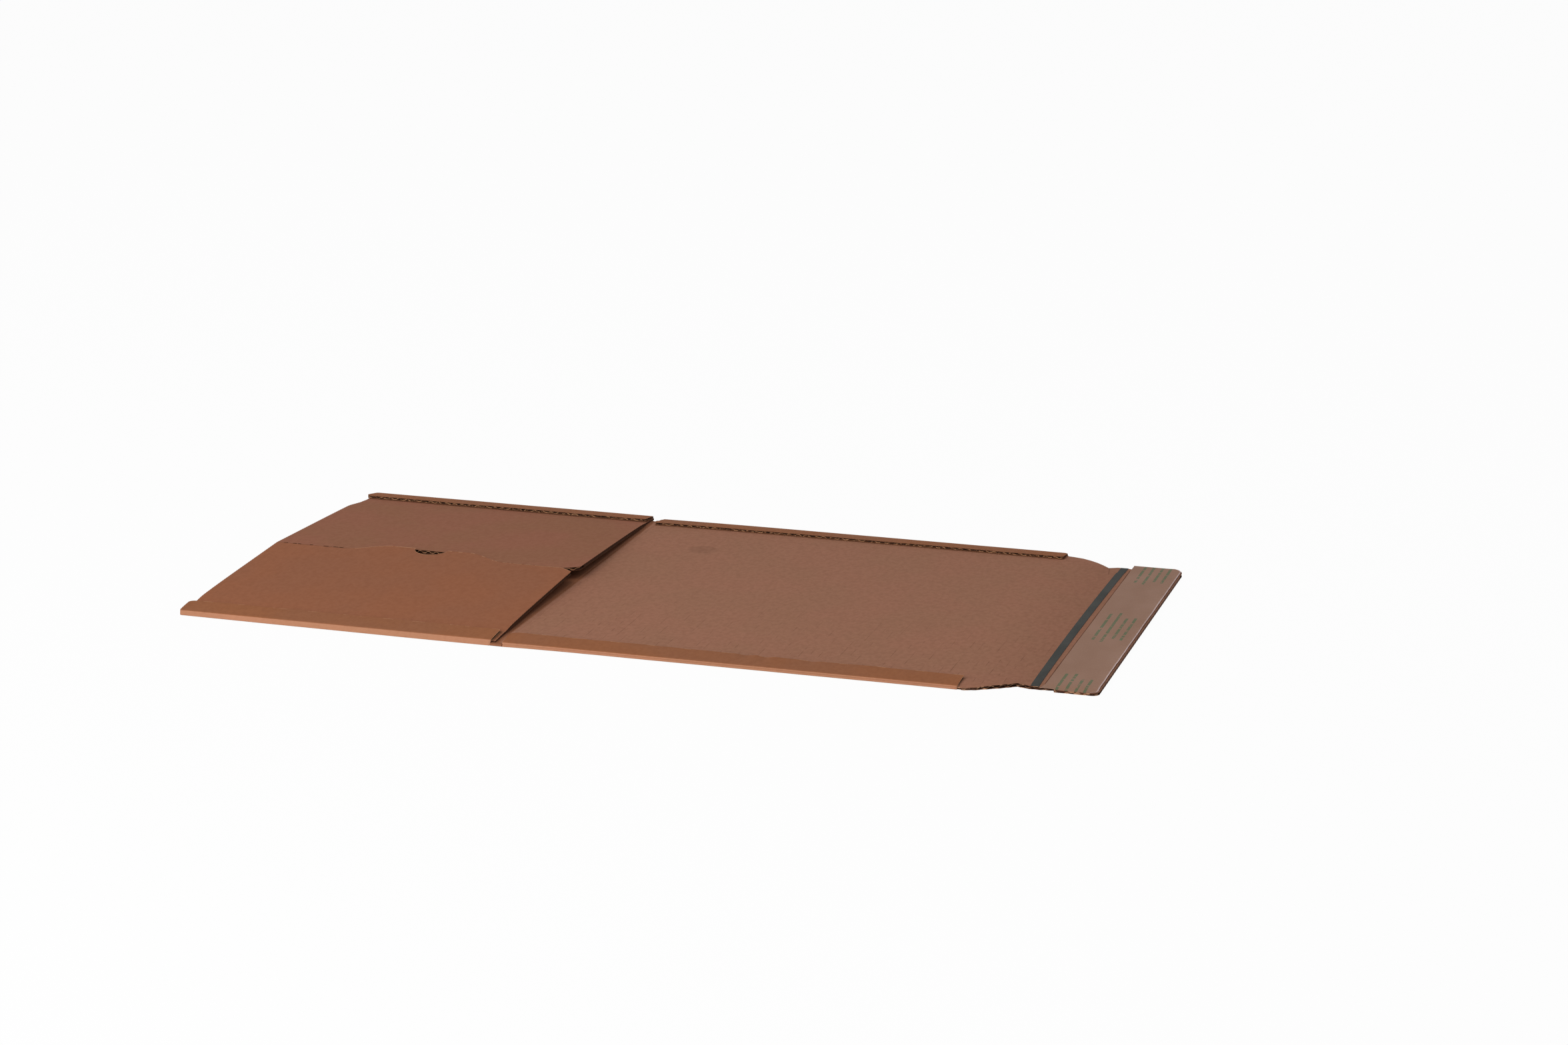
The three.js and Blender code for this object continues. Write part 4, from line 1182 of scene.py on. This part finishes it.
@dataclass
class ClosureStrips:
    """The tear tape, the adhesive strip and its release liner on the wrap panel's end."""

    surface: Surface

    def ribbon(self, name: str, left: Edge, right: Edge, near: float, far: float, low: float, high: float,
               finishes: Sequence[bpy.types.Material], lift: float = 0.0) -> bpy.types.Object:
        """A thin strip between a left and a right line, which are functions of y.

        x = left(y) + u (right(y) - left(y)). Its upper face ripples by 0.02 mm, and the right
        border rises by the lift, as u to the sixteenth power.

        Args:
            name: The piece's name.
            left: The left line.
            right: The right line.
            near: Where it starts along y.
            far: Where it ends.
            low: Height of its lower face above the panel.
            high: Height of its upper face above the panel.
            finishes: Its material, and its right border's where that has one.
            lift: How far the right border stands up.

        Returns:
            The strip's object.
        """
        mesh = PieceMesh(name)
        rows = np.linspace(near, far, 160)[:, None]
        share = np.unique(np.concatenate([np.linspace(0.0, 1.0, 10), 1.0 - np.geomspace(0.004, 0.1, 6)]))[None, :]
        y = np.broadcast_to(rows, (160, share.shape[1])).copy()
        x = left(y) + share * (right(y) - left(y))
        ripple = 0.02 * wander(y, 40.0, 91) * share
        rise = lift * share**16 * (1.0 + 0.5 * wander(y, 90.0, 92))
        ground = self.surface(x, y)
        upper = np.stack([x, y, ground + high + ripple + rise], axis=-1)
        lower = np.stack([x, y, ground + low + rise], axis=-1)
        border = np.broadcast_to(share[:, 1:] > 0.985, (159, share.shape[1] - 1))
        if len(finishes) > 1:
            mesh.shell(upper, lower, Slot.TOP, Slot.TOP, Slot.TOP, [(border, Slot.UNDER)])
        else:
            mesh.shell(upper, lower, Slot.TOP, Slot.TOP, Slot.TOP)
        return mesh.make(finishes)

    def tape(self, finishes: Sequence[bpy.types.Material]) -> bpy.types.Object:
        """The tear tape, 5.6 mm wide, bowed 1.2 mm to the left at mid-length."""
        bow = lambda v: -4.8 * ((v - 16.4) / 304.6) * (1.0 - (v - 16.4) / 304.6)
        left = lambda v: 582.8 + bow(v) + 0.5 * np.clip((v - 309.0) / 1.5, 0.0, 1.0)
        right = lambda v: 588.4 + bow(v) + 0.25 * np.clip((v - 311.0) / 1.5, 0.0, 1.0)
        return self.ribbon("tear_tape_strip", left, right, 16.6, 324.6, 0.0, 0.22, finishes)

    def glue(self, finishes: Sequence[bpy.types.Material]) -> bpy.types.Object:
        """The adhesive strip, which shows as a line beside the release liner."""
        left = lambda v: 590.75 + 0.12 * wander(v, 70.0, 95)
        right = lambda v: np.full_like(v, 621.7)
        return self.ribbon("adhesive_bead", left, right, 22.8, 317.8, 0.0, 0.12, finishes)

    def release(self, finishes: Sequence[bpy.types.Material]) -> bpy.types.Object:
        """The release liner over the adhesive, with its right border standing up a little and painted pale as a
        highlight.
        """
        left = lambda v: 591.4 + 0.1 * wander(v, 130.0, 96) - 2.3 * np.clip((26.0 - v) / 11.5, 0.0, 1.0) ** 2
        right = lambda v: 626.5 + 0.13 * wander(v, 60.0, 97) - 8.0 * (
            1.0 - np.sqrt(1.0 - np.clip((v - 323.6) / 9.9, 0.0, 1.0) ** 2)
        ) - 4.0 * (1.0 - np.sqrt(1.0 - np.clip((18.6 - v) / 4.0, 0.0, 1.0) ** 2))
        return self.ribbon("release_liner_strip", left, right, 14.6, 333.2, 0.12, 0.25, finishes, lift=0.25)


@dataclass
class Studio:
    """Pale floor, soft light and the camera."""

    focal_px: float = 5695.2
    yaw: float = 15.397
    pitch: float = 14.262
    roll: float = 1.007
    place: tuple[float, float, float] = (0.7342, -2.4503, 0.7)

    def camera(self) -> None:
        """Adds the camera from its yaw, pitch and roll in degrees and its focal length in pixels."""
        yaw, pitch, roll = (math.radians(a) for a in (self.yaw, self.pitch, self.roll))
        forward = Vector((-math.sin(yaw) * math.cos(pitch), math.cos(yaw) * math.cos(pitch), -math.sin(pitch)))
        right = Vector((math.cos(yaw), math.sin(yaw), 0.0))
        up = right.cross(forward)
        right2 = right * math.cos(roll) + up * math.sin(roll)
        up2 = up * math.cos(roll) - right * math.sin(roll)
        data = bpy.data.cameras.new("camera")
        data.sensor_width = 36.0
        data.sensor_fit = "HORIZONTAL"
        data.lens = self.focal_px * 36.0 / 2352.0
        data.clip_start, data.clip_end = 0.05, 60.0
        camera = bpy.data.objects.new("camera", data)
        turn = Matrix((right2, up2, -forward)).transposed()
        camera.matrix_world = Matrix.Translation(Vector(self.place)) @ turn.to_4x4()
        bpy.context.scene.collection.objects.link(camera)
        bpy.context.scene.camera = camera

    def floor(self) -> None:
        """Adds the floor: white to the camera, pale to everything else, and it keeps the shadow."""
        mesh = bpy.data.meshes.new("floor")
        mesh.from_pydata([(-20, -20, -0.0002), (20, -20, -0.0002), (20, 20, -0.0002), (-20, 20, -0.0002)], [],
                         [(0, 1, 2, 3)])
        plane = bpy.data.objects.new("floor", mesh)
        bpy.context.scene.collection.objects.link(plane)
        material = bpy.data.materials.new("floor_paint")
        material.use_nodes = True
        tree = material.node_tree
        tree.nodes.clear()
        out = tree.nodes.new("ShaderNodeOutputMaterial")
        diffuse = tree.nodes.new("ShaderNodeBsdfDiffuse")
        diffuse.inputs["Color"].default_value = (0.82, 0.82, 0.82, 1.0)
        glow = tree.nodes.new("ShaderNodeEmission")
        glow.inputs["Color"].default_value = (1.0, 1.0, 1.0, 1.0)
        rays = tree.nodes.new("ShaderNodeLightPath")
        share = tree.nodes.new("ShaderNodeMath")
        share.operation = "MULTIPLY"
        share.inputs[1].default_value = 0.96
        blend = tree.nodes.new("ShaderNodeMixShader")
        tree.links.new(self._seen(tree, rays), share.inputs[0])
        tree.links.new(share.outputs[0], blend.inputs[0])
        tree.links.new(diffuse.outputs[0], blend.inputs[1])
        tree.links.new(glow.outputs[0], blend.inputs[2])
        tree.links.new(blend.outputs[0], out.inputs["Surface"])
        mesh.materials.append(material)

    def _seen(self, tree: bpy.types.NodeTree, rays: bpy.types.Node) -> bpy.types.NodeSocket:
        """1 for camera, glossy and transmission rays, 0 for the rest."""
        total = rays.outputs["Is Camera Ray"]
        for name in ("Is Glossy Ray", "Is Transmission Ray"):
            either = tree.nodes.new("ShaderNodeMath")
            either.operation = "MAXIMUM"
            tree.links.new(total, either.inputs[0])
            tree.links.new(rays.outputs[name], either.inputs[1])
            total = either.outputs[0]
        return total

    def lamp(self, name: str, azimuth: float, elevation: float, distance: float, size: float, power: float) -> None:
        """Adds a square soft light that faces the object from an azimuth and an elevation."""
        data = bpy.data.lights.new(name, "AREA")
        data.shape = "SQUARE"
        data.size = size
        data.energy = power
        lamp = bpy.data.objects.new(name, data)
        turn, tilt = math.radians(azimuth), math.radians(elevation)
        back = Vector((math.sin(turn) * math.cos(tilt), -math.cos(turn) * math.cos(tilt), math.sin(tilt)))
        lamp.location = back * distance
        lamp.rotation_mode = "QUATERNION"
        lamp.rotation_quaternion = (-back).to_track_quat("-Z", "Y")
        bpy.context.scene.collection.objects.link(lamp)

    def light(self) -> None:
        """Adds the world's even light and the lamps."""
        world = bpy.data.worlds.new("studio")
        world.use_nodes = True
        tree = world.node_tree
        glow = tree.nodes["Background"]
        glow.inputs["Color"].default_value = (1.0, 1.0, 1.0, 1.0)
        rays = tree.nodes.new("ShaderNodeLightPath")
        seen = tree.nodes.new("ShaderNodeMapRange")
        seen.inputs["To Min"].default_value = 0.32
        seen.inputs["To Max"].default_value = 1.0
        tree.links.new(self._seen(tree, rays), seen.inputs["Value"])
        tree.links.new(seen.outputs["Result"], glow.inputs["Strength"])
        bpy.context.scene.world = world
        self.lamp("front_box", -20.0, 19.0, 2.2, 1.4, 33.0)
        self.lamp("top_box", -60.0, 62.0, 3.0, 2.0, 18.0)


def main() -> None:
    """Builds the mailer in order and reports each piece."""
    logging.basicConfig(level=logging.INFO, format="%(name)s %(message)s")
    finishes = Finishes()
    outer = finishes.board(finishes.outside)
    folded = {False: finishes.near_folded(finishes.hem), True: finishes.folded(finishes.hem)}

    pocket = Pocket()
    dress(pocket.base(outer), "pocket", "kraft", "pocket_base")
    dress(pocket.margin("pocket_near_margin", pocket.near_margin_end, False, outer), "pocket", "kraft", "pocket_base")
    dress(pocket.margin("pocket_far_margin", pocket.far_margin_end, True, outer), "pocket", "kraft", "pocket_base")
    for hem in pocket.hems():
        dress(hem.build(folded[hem.far]), "pocket", "kraft", "pocket_base")

    near = NearDoor("near_door_board", 20.4, 163.3, 0.8, 224.8, 0.9)
    dress(near.build(near.columns(), near.seam, near.left_inset, finishes.board(finishes.near_door), 101),
          "near_door", "near_door_kraft", "near_door")
    far = FarDoor("far_door_board", 332.6, 163.3, 0.8, 227.0, 0.75, skew=2.6, edge_slot=Slot.SIDE)
    dress(far.build(far.columns(), far.seam, far.left_inset, finishes.board(finishes.far_door), 111),
          "far_door", "far_door_kraft", "far_door")

    wrap = WrapPanel()
    dress(wrap.panel(finishes.closure(finishes.inside)), "wrap", "inner_kraft", "wrap_panel")
    for hem in wrap.hems():
        dress(hem.build(folded[hem.far]), "wrap", "inner_kraft", "wrap_panel")
    strips = ClosureStrips(wrap.top)
    dress(strips.tape([finishes.tape]), "wrap", "tape_film", "tear_tape")
    dress(strips.glue([finishes.glue]), "wrap", "adhesive", "adhesive_strip")
    dress(strips.release([finishes.release, finishes.release_edge_highlight]), "wrap", "silicone_paper", "release_liner")

    studio = Studio()
    studio.camera()
    studio.floor()
    studio.light()
    bpy.context.scene.view_settings.view_transform = "Standard"


if __name__ == "__main__":
    main()
